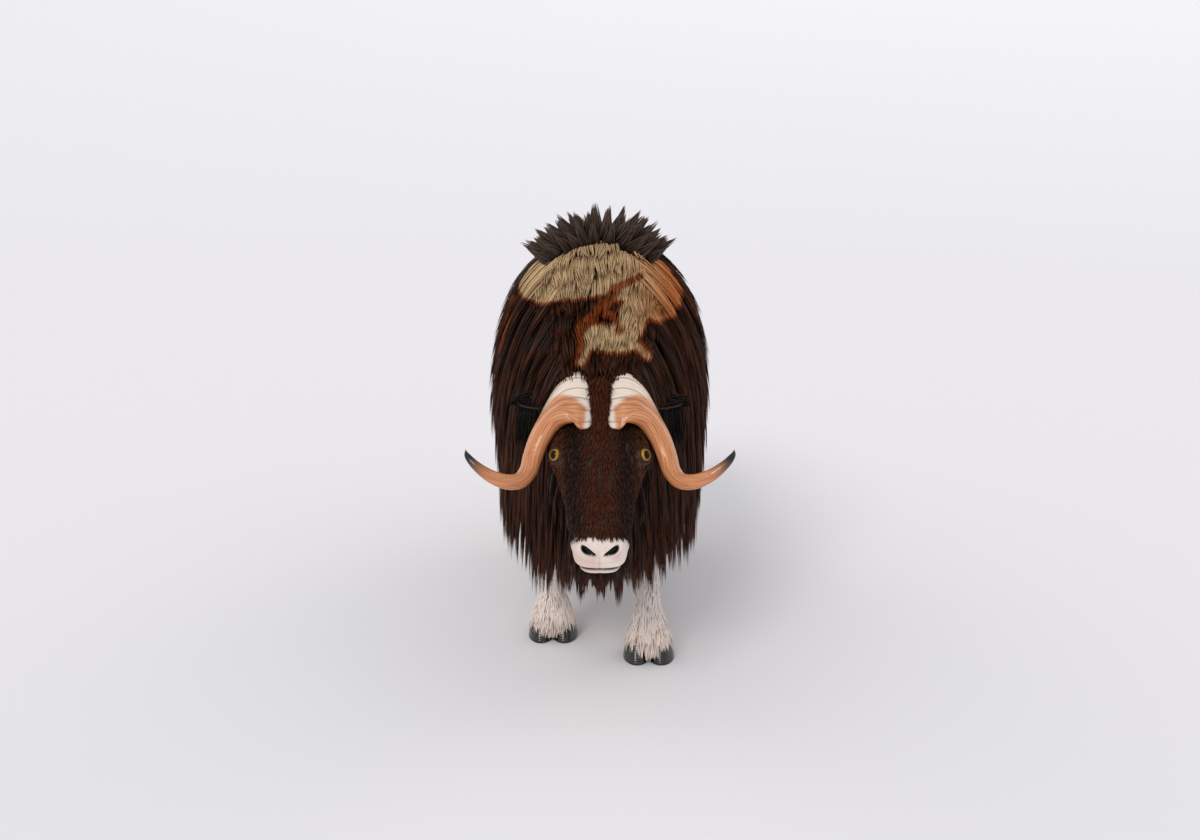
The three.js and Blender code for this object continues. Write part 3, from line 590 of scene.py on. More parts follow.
def bodySkin():
    parts = []
    y = trunkStart + (trunkEnd - trunkStart) * (1 - np.cos(np.linspace(0.02, math.pi - 0.02, 120))) / 2
    parts.append(loft(trunkPoint(*crossed(y, around(96, 360)), 0.0)))
    for foot in feet.values():
        rows = legRows(foot)
        z, a = crossed(np.linspace(rows[0, 0], rows[-1, 0] - 60, 60), around(40, 360))
        parts.append(loft(legPoint(rows, z, a, skinDepth)))
    s, a = crossed(np.linspace(-1, 1, 24), around(24))
    r = np.sqrt(np.maximum(0.0, 1 - s * s))
    tail = [22 * r * np.cos(a), 1046 - 16 * s + 12 * r * np.sin(a), 895 + 88 * s]
    parts.append(loft(np.stack(tail, -1)))
    points, faces = joined(parts)
    made = meshObject("skin", points, faces)
    faceOutward(made)
    remesh = made.modifiers.new("join", "REMESH")
    remesh.mode = "VOXEL"
    remesh.voxel_size = 0.011
    dg = bpy.context.evaluated_depsgraph_get()
    mesh = bpy.data.meshes.new_from_object(made.evaluated_get(dg))
    made.modifiers.clear()
    made.data = mesh
    bm = bmesh.new()
    bm.from_mesh(mesh)
    for _ in range(4):
        bmesh.ops.smooth_vert(bm, verts=bm.verts, factor=0.5,
                              use_axis_x=True, use_axis_y=True, use_axis_z=True)
    bm.to_mesh(mesh)
    bm.free()
    mesh.polygons.foreach_set("use_smooth", [True] * len(mesh.polygons))
    return made


def legPale(point, shade):
    # 1 on the pale stockings of all four legs, 0 on the brown thigh above
    return 1 - (point.part(2) + (shade - 0.5) * 0.05).ramp(0.47, 0.53)


def stockingColour(point, shade, tipness):
    low = point.part(2).ramp(0.02, 0.3)
    tone = (low * 0.6 + shade * 0.4).between(colour("f8e4d6"), colour("eee8e5"))
    return (shade * tipness * 0.35).between(tone, colour("faf3ee"))


skinFinish, skinShader = material("skinBody", Roughness=0.7)
skinPlace = place(skinFinish)
skinShade = skinPlace.noise(60.0)
skinTip = skinShade * 0.0
skinTone = legPale(skinPlace, skinShade).between(bodyColour(skinPlace, skinShade, skinTip),
                                                stockingColour(skinPlace, skinShade, skinTip))
plug(skinTone, skinShader, "Base Color")
skin = bodySkin()
skin.data.materials.clear()
skin.data.materials.append(skinFinish)
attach(skin, "root")
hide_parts("trunk", "neck", "foreleg_left", "foreleg_right", "hindleg_left", "hindleg_right", "tail")
print("skin", len(skin.data.polygons), "faces")


# Face: one dense surface, shaped by smooth swellings and hollows
def faceRings():
    s = np.linspace(-39.5, 567.6, 1200)
    weight = 1 + 2.6 * bell(s, 221, 30) + 2.4 * bell(s, 548, 30)
    total = np.cumsum(weight)
    return np.interp(np.linspace(total[0], total[-1], 270), total, s)


def faceAngles():
    a = np.linspace(-90, 270, 1440, endpoint=False)
    weight = 1 + 2.6 * (bell(a, 28, 16) + bell(a, 152, 16))
    total = np.cumsum(weight)
    return np.interp(np.linspace(total[0], total[-1], 251)[:-1], total, a)


eyeGaze = unit(np.array([0.62, 0.74, 0.2]))
eyeAcross = unit(np.cross(eyeGaze, upInHead))
eyeUp = np.cross(eyeAcross, eyeGaze)


def lidded(points):
    # the skin drawn over each eyeball, open in an almond about its gaze
    mirrored = points.copy()
    mirrored[..., 0] = np.abs(mirrored[..., 0])
    gone = mirrored - eyeCentre
    far = np.linalg.norm(gone, axis=-1)
    way = gone / np.maximum(far, 1e-6)[..., None]
    a, h, f = [(way * axis).sum(-1) for axis in (eyeAcross, eyeUp, eyeGaze)]
    almond = np.sqrt((a / 0.88) ** 2 + (h / 0.8) ** 2 + 0.35 * np.abs(a) ** 3) + np.where(f < 0, 3.0, 0.0)
    shell = eyeRadius + 2 + 2.8 * bell(almond, 1.2, 0.2) - 1.4 * bell(almond, 1.7, 0.13)
    over = far + 3 * np.log1p(np.exp(np.clip((shell - far) / 3, -30, 30)))
    isNear = far < 45
    over += (eyeRadius - 6 - over) * (1 - smooth(almond, 0.9, 1.04)) * isNear
    mirrored = eyeCentre + way * over[..., None]
    mirrored[..., 0] *= np.where(points[..., 0] < 0, -1, 1)
    # the dark rim of each lid, and painted shade: the skin drawn in behind each eyeball is painted near-black
    # with it
    rim = bell(almond, 1.06, 0.1) * isNear
    socket = (1 - smooth(almond, 0.9, 1.04)) * isNear
    return mirrored, np.maximum(rim, socket), np.exp(-(almond / 2.1) ** 6) * isNear


def blob(p, centre, radii):
    d = (((p - np.array(centre, float)) / np.array(radii, float)) ** 2).sum(-1)
    return np.exp(-d)


# how far out each swelling or hollow goes, where it is and how wide
swellings = {
    "orbit": (12, (130, 22, 218), (34, 34, 46)),
    "brow": (8, (106, 56, 178), (34, 24, 34)),
    "jaw": (12, (88, -60, 262), (40, 60, 90)),
    "below the eye": (-6, (98, 30, 330), (30, 40, 60)),
    "wing of the nose": (7, (44, 34, 520), (36, 30, 36)),
    "lower lip": (8, (30, -62, 520), (44, 30, 36)),
    "side of the muzzle": (-4, (80, 0, 470), (30, 40, 30)),
}
nostril = {"x": 33, "n": 20, "turn": 15, "halfLength": 22, "halfWidth": 7.6, "widening": 2.4, "depth": 17}


def shapedFace(s, angle):
    p = headPoint(s, angle)
    ds = headPoint(s + 2, angle) - headPoint(s - 2, angle)
    da = headPoint(s, angle + 1) - headPoint(s, angle - 1)
    normal = unit(np.cross(da, ds) + 1e-9)
    q = p.copy()
    q[..., 0] = np.abs(q[..., 0])
    x, n, depth = q[..., 0], q[..., 1], q[..., 2]
    out = sum(amount * blob(q, at, radii) for amount, at, radii in swellings.values())
    turn = math.radians(nostril["turn"])
    u, v = x - nostril["x"], n - nostril["n"]
    long = (u * math.cos(turn) + v * math.sin(turn)) / nostril["halfLength"]
    breadth = nostril["halfWidth"] + nostril["widening"] * np.clip(long, -1, 1)
    wide = (-u * math.sin(turn) + v * math.cos(turn)) / breadth
    hole = long ** 2 + wide ** 2
    isFront = depth > 505
    out += np.where(isFront, 3.4 * bell(np.sqrt(hole), 1.3, 0.3), 0)
    out -= np.where(isFront, nostril["depth"] * (1 - smooth(hole, 0.6, 1.15)), 0)
    # the groove down the upper lip
    groove = bell(x, 0, 3.2) * smooth(n, -34, -26) * (1 - smooth(n, 18, 30))
    out -= 3.5 * smooth(depth, 526, 545) * groove
    # the line of the mouth, with a lip on either side
    gap = n - (-37 - 0.16 * (562 - depth) - 0.00066 * x ** 2)
    isMouth = smooth(depth, 478, 498)
    out -= 9 * isMouth * bell(gap, 0, 2.8)
    out += 4.5 * isMouth * bell(gap, 11, 7)
    out += 6 * isMouth * bell(gap, -10, 8) * smooth(depth, 520, 550)
    # painted shade: near-black in the nostril holes and along the line of the mouth, carried in the first
    # channel of the marks
    nostrilShade = np.where(isFront, 1 - smooth(hole, 0.75, 1.25), 0)
    mouthShade = isMouth * bell(gap, 0, 4)
    shaped, lids, aroundEye = lidded(p + normal * out[..., None])
    shaped[..., 2] -= 0.3 * shaped[..., 1] * smooth(s, 490, 556)
    return shaped, np.stack([np.maximum(nostrilShade, mouthShade), lids, aroundEye], -1)


sGrid, aGrid = crossed(faceRings(), faceAngles())
facePoints, faceMarks = shapedFace(sGrid, aGrid)
points, faces = loft(facePoints)
face = meshObject("face", toWorld(points), faces)
faceOutward(face)
ends = np.stack([faceMarks[0].mean(0), faceMarks[-1].mean(0)])
setVector(face.data, "marks", np.concatenate([faceMarks.reshape(-1, 3), ends]))
setVector(face.data, "own", points * mm)


def muzzleEdge(own, shade):
    # 1 on the bare, pale muzzle and lips, from the head's own frame
    x, n, s = own.part(0), own.part(1), own.part(2)
    lift = n * 0.55 + (x * x) * -1.6
    return (s + lift * -0.35 + (shade - 0.5) * 0.012).ramp(0.503, 0.512)


faceFinish, faceShader = material("skinFace", Roughness=0.5, Specular_IOR_Level=0.4)
own = attribute(faceFinish, "own")
marks = attribute(faceFinish, "marks")
grain = own.noise(90.0)
dark = grain.between(colour("150a05"), colour("2c170c"))
blush = own.noise(14.0).ramp(0.35, 0.7)
pink = (blush * 0.6).between(colour("eadfd6"), colour("d3a896"))
tone = muzzleEdge(own, grain).between(dark, pink)
# painted shade: the nostril holes and the line of the mouth painted near-black
tone = (marks.part(0) * 1.6).least(1.0).between(tone, colour("080505"))
tone = (marks.part(2) * 0.8).between(tone, colour("54290f"))
# near-black lids: the real dark lid rims, and painted shade on the skin drawn in behind each eye
tone = (marks.part(1) * 1.3).least(1.0).between(tone, colour("0a0605"))
plug(tone, faceShader, "Base Color")
bump(own.noise(420.0, 2.0) + own.noise(130.0, 2.0), faceShader, 0.35, 0.0012)
face.data.materials.append(faceFinish)
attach(face, "root")
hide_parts("head")
print("face", len(face.data.polygons), "faces")


# Eyes
ballGaze = np.array([0.5, 0.8, 0.3])


def eyeBall(side, name):
    points, faces = sphere(48, 32)
    way = points[:, ::-1] * [side, 1, 1]
    gaze = unit(ballGaze * [side, 1, 1])
    acrossWay = unit(np.cross(gaze, upInHead))
    upWay = np.cross(acrossWay, gaze)
    front = (way * gaze).sum(-1)
    bulge = 1 + 0.07 * smooth(front, 0.72, 0.98)
    centre = eyeCentre * [side, 1, 1]
    made = meshObject(f"{name}_ball", toWorld(centre + way * bulge[:, None] * eyeRadius), faces)
    faceOutward(made)
    setVector(made.data, "own", np.stack([(way * acrossWay).sum(-1), (way * upWay).sum(-1), front], -1))
    return made


eyeFinish, eyeShader = material("eyeBall", Roughness=0.07, Specular_IOR_Level=0.25)
eyeOwn = attribute(eyeFinish, "own")
across, high, front = eyeOwn.part(0), eyeOwn.part(1), eyeOwn.part(2)
irisReach = (across * across + high * high) ** 0.5
pupilReach = ((across * 2.45) ** 2.0 + (high * 1.85) ** 2.0) ** 0.5
spokes = eyeOwn.noise(9.0, 6.0)
iris = (spokes * 0.7 + irisReach * 0.5).ramp(0.3, 0.95).between(colour("d69a18"), colour("7a4a08"))
iris = irisReach.ramp(0.72, 0.84).between(iris, colour("160a03"))
ball = pupilReach.ramp(0.94, 1.04).between(colour("020202"), iris)
ball = irisReach.ramp(0.88, 0.94).between(ball, colour("3a2818"))
plug(ball, eyeShader, "Base Color")
for side, name in ((1, "eye_left"), (-1, "eye_right")):
    made = eyeBall(side, name)
    made.data.materials.append(eyeFinish)
    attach(made, "root")
    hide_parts(name)


# Horns
hornTable = np.array([
    [22, 58, 46, 72, 12, -0.4, 1, 0], [38, 74, 46, 102, 22, -0.1, 1, 0], [74, 78, 46, 110, 30, 0.25, 1, 0],
    [112, 63, 58, 96, 33, 0.7, 0.8, -0.1], [154, 36, 94, 64, 32, 1, 0.65, -0.15],
    [187, 14, 146, 43, 30, 0.9, 0.75, -0.1], [208, 0, 205, 33, 28, 0.7, 0.9, -0.05],
    [220, 0, 256, 29, 26, 0.5, 1, 0], [245, 18, 302, 26, 24, 0.2, 1, -0.1],
    [286, 46, 322, 24, 22, 0, 1, -0.1],
    [332, 77, 319, 19, 18, -0.1, 1, 0.2], [372, 98, 297, 14, 14, -0.2, 1, 0.3],
    [397, 108, 270, 9, 8, -0.2, 1, 0.2], [404, 110, 248, 0, 0, -0.2, 1, 0.2]], float)
hornTable = np.column_stack([np.linspace(0, 1, len(hornTable)), hornTable])
bossShare = 0.34


def hornMesh(side, name):
    part, turn = crossed(np.linspace(0, 0.999, 190), around(72))
    rows = rowsAt(hornTable, part)
    centre, outward = rows[..., 1:4], rows[..., 6:9]
    wide, thick = np.maximum(rows[..., 4], 0.6), np.maximum(rows[..., 5], 0.6)
    ahead = rowsAt(hornTable, np.minimum(1, part + 0.01))
    behind = rowsAt(hornTable, np.maximum(0, part - 0.01))
    along = unit(ahead[..., 1:4] - behind[..., 1:4])
    outward = unit(outward - along * (outward * along).sum(-1, keepdims=True))
    across = np.cross(along, outward)
    boss = np.clip(1 - part / bossShare, 0, 1)
    c, s = np.cos(turn), np.sin(turn)
    # ledges across the boss: a saw-tooth over its width, on the outer face
    ledge = (c * 0.5 + 0.5) * 5.5
    saw = ledge - np.floor(ledge)
    ledges = np.where(s > 0, (saw ** 1.6 - 0.4) * 5.5, 0) * np.clip(boss * 3, 0, 1)
    fibres = np.sin(turn * 46 + 5 * np.sin(part * 30)) * 0.35 + np.sin(turn * 23 + part * 40) * 0.3
    rings = np.sin(part * 260) * 0.35 * smooth(part, 0.3, 0.45) * (1 - smooth(part, 0.75, 0.9))
    extra = ledges + (fibres * (0.5 + boss)) * (1 - smooth(part, 0.7, 0.85)) + rings
    p = centre + across * (c * (wide + extra * 0.3))[..., None] + outward * (s * (thick + extra))[..., None]
    points, faces = loft(p)
    points[:, 0] *= side
    made = meshObject(name, toWorld(points), faces)
    faceOutward(made)
    flat = np.concatenate([part.ravel(), [0, 1]])
    ledgeMark = np.concatenate([(c * 0.5 + 0.5).ravel(), [0.5, 0.5]])
    roundMark = np.concatenate([(s * 0.5 + 0.5).ravel(), [0.5, 0.5]])
    setVector(made.data, "own", np.stack([flat, ledgeMark, roundMark], -1))
    return made


hornFinish, hornShader = material("hornSheath", Specular_IOR_Level=0.5, Coat_Weight=0.25, Coat_Roughness=0.12)
hornOwn, hornPlace = attribute(hornFinish, "own"), place(hornFinish)
lengthwise, crosswise, facing = hornOwn.part(0), hornOwn.part(1), hornOwn.part(2)
stretched = hornOwn.node("ShaderNodeVectorMath", (hornOwn, (3.5, 9.0, 9.0)), operation="MULTIPLY")
streaks = stretched.noise(2.2, 6.0)
cream = (streaks * 0.8).between(colour("f3ebe2"), colour("dcc3aa"))
amber = (streaks.ramp(0.3, 0.75)).between(colour("dc9a68"), colour("a85a2e"))
black = colour("0c0a0b")
upper = lengthwise + (crosswise - 0.45) * 0.42 + (streaks - 0.5) * 0.03
tone = upper.least(lengthwise * 2.1).ramp(0.17, 0.23).between(cream, amber)
tone = (lengthwise + (streaks - 0.5) * 0.06).ramp(0.74, 0.9).between(tone, black)
ledgeAt = (crosswise * 5.5).maths("FRACT")
groove = (1 - ledgeAt.ramp(0.0, 0.2)) * (1 - lengthwise.ramp(0.26, 0.36)) * facing.ramp(0.45, 0.6)
tone = (groove * 0.75).between(tone, colour("8d6a52"))
plug(tone, hornShader, "Base Color")
plug(0.4 - lengthwise * 0.18, hornShader, "Roughness")
bump(streaks, hornShader, 0.25, 0.0015)
for name, side in halves.items():
    made = hornMesh(side, f"horn_sheath_{name}")
    made.data.materials.append(hornFinish)
    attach(made, "root")
    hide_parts(f"horn_{name}")
print("horns ready")


# Ears: cupped leaves
def turned(rx, ry, rz):
    (cx, cy, cz), (sx, sy, sz) = np.cos([rx, ry, rz]), np.sin([rx, ry, rz])
    x = np.array([[1, 0, 0], [0, cx, -sx], [0, sx, cx]])
    y = np.array([[cy, 0, sy], [0, 1, 0], [-sy, 0, cy]])
    z = np.array([[cz, -sz, 0], [sz, cz, 0], [0, 0, 1]])
    return x @ y @ z


ear = {"turn": (-0.2, 0.34, -0.28), "root": 110, "length": 184, "halfLength": 90, "halfWidth": 42,
       "back": 21, "hollow": 25, "rim": 8, "wall": 3.5}
earTurn = turned(*ear["turn"])
earMiddle = np.array([ear["root"] + ear["length"] * 0.4, 0, -8], float)


def earSurface(u, v, inner):
    # u runs along the ear and v across it, both -1 to 1
    edge = np.sqrt(np.maximum(0, 1 - u * u))
    bow = np.sqrt(np.maximum(0, 1 - v * v))
    back = -ear["back"] * edge * bow
    hollow = np.maximum(ear["rim"] - ear["hollow"] * edge * bow, back + ear["wall"] * edge * bow)
    y = np.where(inner, hollow, back - 0.5)
    local = np.stack([ear["halfLength"] * u, y, ear["halfWidth"] * edge * v], -1)
    return earMiddle + local @ earTurn.T


def earMesh(side, name):
    u = np.sin(np.linspace(-math.pi / 2 * 0.985, math.pi / 2 * 0.985, 44))
    u, turn = crossed(u, around(56))
    p = earSurface(u, np.cos(turn), np.sin(turn) > 0)
    points, faces = loft(p)
    points[:, 0] *= side
    made = meshObject(name, toWorld(points), faces)
    faceOutward(made)
    made.data.materials.append(earFinish)
    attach(made, "root")
    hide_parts(f"ear_{'left' if side > 0 else 'right'}")
    return made


earFinish, earShader = material("skinEar", Roughness=0.6)
earPlace = place(earFinish)
plug(earPlace.noise(70.0).between(colour("120905"), colour("34200f")), earShader, "Base Color")
earMesh(1, "ear_left_skin")
earMesh(-1, "ear_right_skin")


# Hooves and dewclaws
hoof = {"halfWidth": 47, "halfLength": 74, "inset": 42}


def hoofMesh(foot, inner, name):
    outward = foot["side"] * (-1 if inner else 1)
    wall = np.linspace(3, 62, 26)
    z = np.concatenate([[0.4, 0.0], wall, [65, 66]])
    shrink = np.concatenate([[0.93, 0.965], 1.0 - 0.34 * (wall / 66) ** 1.7, [0.58, 0.46]])[:, None]
    zGrid, tGrid = crossed(z, around(64))
    cx, cy = roundPower(np.cos(tGrid), 0.86), roundPower(np.sin(tGrid), 0.92)
    point = 1 - 0.22 * np.maximum(0, -cy) ** 2
    x = hoof["inset"] + hoof["halfWidth"] * shrink * cx * point
    x = np.maximum(x, 3 + 0.6 * np.sin(zGrid * 0.2) ** 2)
    y = foot["y"] - 12 + 0.22 * zGrid + hoof["halfLength"] * shrink * cy
    rings = 0.5 * np.sin(zGrid * 0.9) * (zGrid > 4)
    x = foot["side"] * foot["x"] + outward * (x + rings * np.maximum(0, cx))
    points, faces = loft(np.stack([x, y - rings * np.maximum(0, -cy), zGrid], -1))
    return meshObject(name, points, faces)


def dewclawMesh(foot, inner, name):
    outward = foot["side"] * (-1 if inner else 1)
    points, faces = sphere(24, 16)
    p = points * [14, 12, 20]
    c, s = math.cos(-0.35), math.sin(-0.35)
    p = np.stack([p[:, 0], p[:, 1] * c - p[:, 2] * s, p[:, 1] * s + p[:, 2] * c], -1)
    centre = [foot["side"] * foot["x"] + outward * 28, foot["y"] + 66 + foot["lean"] * 102, 102]
    return meshObject(name, p + centre, faces)


hoofFinish, hoofShader = material("hoofHorn", Roughness=0.24, Specular_IOR_Level=0.6, Coat_Weight=0.3)
hoofPlace = place(hoofFinish)
plug(hoofPlace.noise(55.0).between(colour("050505"), colour("1d1a18")), hoofShader, "Base Color")
bump(hoofPlace.noise(160.0), hoofShader, 0.2, 0.001)
for where, foot in feet.items():
    for inner in (False, True):
        tag = f"{where}_{'inner' if inner else 'outer'}"
        for kind, build in (("hoof", hoofMesh), ("dewclaw", dewclawMesh)):
            made = build(foot, inner, f"{kind}_horn_{tag}")
            faceOutward(made)
            made.data.materials.append(hoofFinish)
            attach(made, "root")
            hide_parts(f"{kind}_{tag}")
print("hooves ready")


# Long coat of the body
def addCoat(name, paths, normals, widths, thickness, finish, nodes=(), unwrap=None):
    shades = rng.uniform(0, 1, len(paths))
    spots = trunkUnwrap(paths[:, 0]) if unwrap is None else unwrap
    made = tuftObject(name, paths, normals, widths, thickness, shades, spots, finish)
    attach(made, "root")
    if nodes:
        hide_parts(*nodes)
    return made


coat = {"width": (5.5, 11), "thickness": 2.2, "steps": 5, "guideSteps": 9, "lowest": 150.0}


def longCoat(name, guides, perClump, halfWidth, depth, nodes=()):
    paths, normals = coatGuides(*guides, steps=coat["guideSteps"])
    strands, ways = clumped(paths, normals, perClump, halfWidth, depth, coat["steps"])
    strands[..., 2] = np.maximum(strands[..., 2], coat["lowest"])
    widths = rng.uniform(*coat["width"], len(strands))
    return addCoat(name, strands, ways, widths, coat["thickness"], coatFinish, nodes)


def skirtLength(angle):
    # long enough for the lowest rows to reach the skirt's edge
    return float(np.interp(angle, [-20, -8, 4, 10, 30, 60, 75], [370, 450, 490, 470, 400, 330, 260]))


def flankLift(angle):
    return float(np.interp(angle, [-20, 0, 60], [26, 42, 46]))


flankRows = [72, 64, 56, 48, 40, 32, 24, 16, 8, 0, -7, -13, -19]
for name, side in halves.items():
    for half, (low, high) in (("front", (-410, 200)), ("back", (200, 850))):
        guides = rowGuides(flankRows, low, high, 49, skirtLength, flankLift, side=side)
        nodes = (f"flank_{name}",) if half == "front" else ()
        longCoat(f"coat_flank_{half}_{name}", guides, 26, 28, 13, nodes)

neckRows = [66, 55, 44, 33, 22, 11, 0, -10, -20, -32, -44, -56, -68, -80, -90]


def neckLength(angle):
    return float(np.interp(angle, [-80, -40, 0, 40, 70], [300, 360, 400, 360, 260]))


def neckLift(angle):
    return float(np.interp(angle, [-80, 0, 70], [26, 38, 30]))


neckParts = [rowGuides(neckRows, -690, -400, 42, neckLength, neckLift, side=side) for side in (1, -1)]
guides = tuple(np.concatenate([a, b]) for a, b in zip(*neckParts))
longCoat("coat_neck", guides, 23, 26, 10)


def rumpGuides():
    starts, lengths, lifts = [], [], []
    for height in (62, 52, 42, 32, 22, 12, 2, -7, -15):
        spacing = 11 / max(0.35, math.cos(math.radians(height)))
        turnsAt = np.arange(-96, 97, spacing) + rng.uniform(-3, 3)
        up = np.radians(height + rng.uniform(-3, 3, len(turnsAt)))
        roundAt = np.radians(turnsAt + rng.uniform(-3, 3, len(turnsAt)))
        way = np.stack([np.sin(roundAt) * np.cos(up), np.cos(roundAt) * np.cos(up), np.sin(up)], -1)
        starts.append(np.array([0, rumpMiddle, 855.0]) + way * 400)
        length = np.interp(height, [-15, 0, 30, 62], [430, 470, 420, 330])
        lengths.append(length * rng.uniform(0.85, 1.1, len(turnsAt)))
        lifts.append(np.interp(height, [-15, 0, 62], [22, 34, 40]) + rng.uniform(-6, 6, len(turnsAt)))
    starts = np.concatenate(starts)
    pulls = np.tile([0, 0.05, -1.0], (len(starts), 1))
    return starts, pulls, np.concatenate(lengths), np.concatenate(lifts)


longCoat("coat_rump", rumpGuides(), 29, 28, 13, ("rump",))


# Wool of the back, neck top and the standing mane
wools = {
    "coat_back": {"angles": (60, 121, 5.0), "span": (-200, 850), "pitch": 46, "length": 170, "lift": 20,
                  "pull": (0, 1.0, -0.12), "scatter": 0.12, "perClump": 16, "depth": 9, "wave": 5},
    "coat_neck_top": {"angles": (48, 133, 6.0), "span": (-690, -290), "pitch": 36, "length": 140, "lift": 16,
                      "pull": (0, -1.0, -0.45), "scatter": 0.1, "perClump": 22, "depth": 7, "wave": 3},
}


def woolCoat(name, wool):
    starts, pulls, lengths, lifts = rowGuides(
        np.arange(*wool["angles"]), *wool["span"], wool["pitch"], lambda a: wool["length"],
        lambda a: wool["lift"], pull=np.array(wool["pull"]), jitter=0.6)
    pulls = pulls + rng.normal(0, wool["scatter"], pulls.shape)
    paths, normals = coatGuides(starts, pulls, lengths, lifts, 6)
    strands, ways = clumped(paths, normals, wool["perClump"], 27, wool["depth"], 4, spreadTip=0.6,
                            wave=wool["wave"])
    addCoat(name, strands, ways, rng.uniform(5, 9, len(strands)), 2.2, coatFinish)


def maneColour(point, shade, tipness):
    tone = (shade * 0.6 + tipness * 0.4).between(colour("150b07"), colour("4a3a30"))
    return ((tipness - 0.6) * 1.5).most(0.0).between(tone, colour("6d5748"))


def maneCoat():
    roots = []
    for row, y in enumerate((-345, -310, -275, -240, -205, -170)):
        angles = np.linspace(63, 117, 11) + rng.uniform(-2, 2, 11) + (row % 2) * 2.5
        roots.append(trunkPoint(y + rng.uniform(-12, 12, 11), angles, coreDepth))
    root = ontoCoat(np.concatenate(roots))
    normal = coatNormal(root)
    length = 114 * rng.uniform(0.7, 1.1, len(root))[:, None, None]
    t = np.linspace(-0.12, 1, 7)[None, :, None]
    lean = np.array([0, 0.62, 0.12])
    fan = unit(normal + root * [0.0075, 0, 0])
    paths = root[:, None] + fan[:, None] * length * 0.78 * t + lean * length * 0.6 * np.maximum(t, 0) ** 1.5
    ways = np.tile(np.array([0, -1.0, 0.2]), (*paths.shape[:2], 1))
    strands, normals = clumped(paths, ways, 30, 22, 10, 5, spreadTip=0.1, lengths=(0.6, 1.04), wave=1.5)
    finish = coatMaterial("maneHair", maneColour)
    addCoat("coat_mane", strands, normals, rng.uniform(5, 9, len(strands)), 2.4, finish)


for name, wool in wools.items():
    woolCoat(name, wool)
maneCoat()


# Short hair of the face, ears and legs
rootSink = 3.0


def shortTufts(root, normal, flow, length, lift, steps):
    t = np.linspace(0, 1, steps + 1)[None, :, None]
    flow = unit(flow - normal * (flow * normal).sum(-1, keepdims=True))
    rise = -rootSink + (lift[:, None, None] + rootSink) * np.sin(np.minimum(1, t * 1.6) * math.pi / 2)
    paths = root[:, None] + flow[:, None] * (length[:, None, None] * t) + normal[:, None] * rise
    return paths, np.repeat(normal[:, None], steps + 1, 1)


def faceSurface(s, angle):
    # places on the face, their normals and their marks
    p, marksAt = shapedFace(s, angle)
    below, _ = shapedFace(s + 4, angle)
    beside, _ = shapedFace(s, angle + 1.5)
    return p, unit(np.cross(beside - p, below - p)), marksAt


def faceHair():
    count = 14500
    s = rng.uniform(-20, 520, count)
    angle = rng.uniform(-90, 270, count)
    size = np.linalg.norm(headPoint(s, angle + 2) - headPoint(s, angle - 2), axis=-1)
    keep = rng.uniform(0, 1, count) < size / 12
    s, angle = s[keep], angle[keep]
    p, normal, marksAt = faceSurface(s, angle)
    edge = s - 0.19 * p[:, 1] + 0.00056 * p[:, 0] ** 2
    clear = (marksAt[..., :2].max(-1) < 0.4) & (edge < 507)
    # none under the bosses
    clear &= ~((s < 120) & (p[:, 1] > 30) & (np.abs(p[:, 0]) > 24))
    p, normal, s, nearEye = p[clear], normal[clear], s[clear], marksAt[clear][:, 2]
    flow = np.stack([p[:, 0] * 0.002, -0.25 + 0 * s, 1 + 0 * s], -1) + rng.normal(0, 0.12, (len(s), 3))
    length = np.interp(s, [0, 150, 300, 480, 520], [42, 26, 30, 26, 20]) * rng.uniform(0.7, 1.25, len(s))
    low = p[:, 1] < -50
    length = np.where(low, length * 1.9, length) * (1 - 0.72 * nearEye)
    lift = np.where(low, 9.0, 5.0) * rng.uniform(0.6, 1.3, len(s))
    paths, ways = shortTufts(p, normal, flow, length, lift * (1 - 0.6 * nearEye), 3)
    unwrap = np.stack([(np.degrees(np.arctan2(p[:, 1], p[:, 0])) + 180) / 360, (p[:, 2] + 50) / 640], -1)
    widths = rng.uniform(3.2, 6.0, len(s))

    def faceColour(point, shade, tipness):
        out = point.part(0).maths("ABSOLUTE")
        tone = (shade * 0.8 + tipness * 0.3).between(colour("0b0503"), colour("33180b"))
        tone = ((1 - out.ramp(0.03, 0.075)) * (0.35 + shade * 0.4)).between(tone, colour("5e2c12"))
        # orange-brown on the outer sides of the face: partly the hair's own colour, partly a painted rim
        # highlight
        return (out.ramp(0.085, 0.15) * (0.25 + shade * 0.5)).between(tone, colour("7a3f1a"))

    finish = coatMaterial("faceHair", faceColour)
    addCoat("coat_face", toWorld(paths), ways @ headAxes, widths, 1.1, finish, unwrap=unwrap)


# place down the face, first and last angle, number of guides and length of each row
beardRows = [
    (520, -126, -54, 9, 62), (500, -150, -30, 14, 90), (470, -150, -30, 14, 115), (430, -150, -30, 16, 145),
    (390, -150, -30, 16, 165), (350, -150, -30, 16, 175), (310, -152, -28, 16, 175), (260, -40, -8, 5, 130),
    (260, 188, 220, 5, 130), (200, -34, -6, 5, 130), (200, 186, 214, 5, 130),
]


def beardHair():
    s, angle, length = [], [], []
    for at, low, high, count, size in beardRows:
        s += list(at + rng.uniform(-12, 12, count))
        angle += list(np.linspace(low, high, count) + rng.uniform(-3, 3, count))
        length += list(size * rng.uniform(0.75, 1.15, count))
    s, angle, length = np.array(s), np.array(angle), np.array(length)
    p, normal, _ = faceSurface(s, angle)
    normal = normal @ headAxes
    root = toWorld(p)
    t = np.linspace(0, 1, 7)[None, :, None]
    down = np.array([0, 0.03, -1.0])
    rise = -4 + 24 * np.sin(t * math.pi / 2)
    paths = root[:, None] + normal[:, None] * rise + down * length[:, None, None] * t
    strands, ways = clumped(paths, np.repeat(normal[:, None], 7, 1), 26, 15, 8, 4, wave=2)
    addCoat("coat_beard", strands, ways, rng.uniform(4, 7, len(strands)), 2.0, coatFinish)


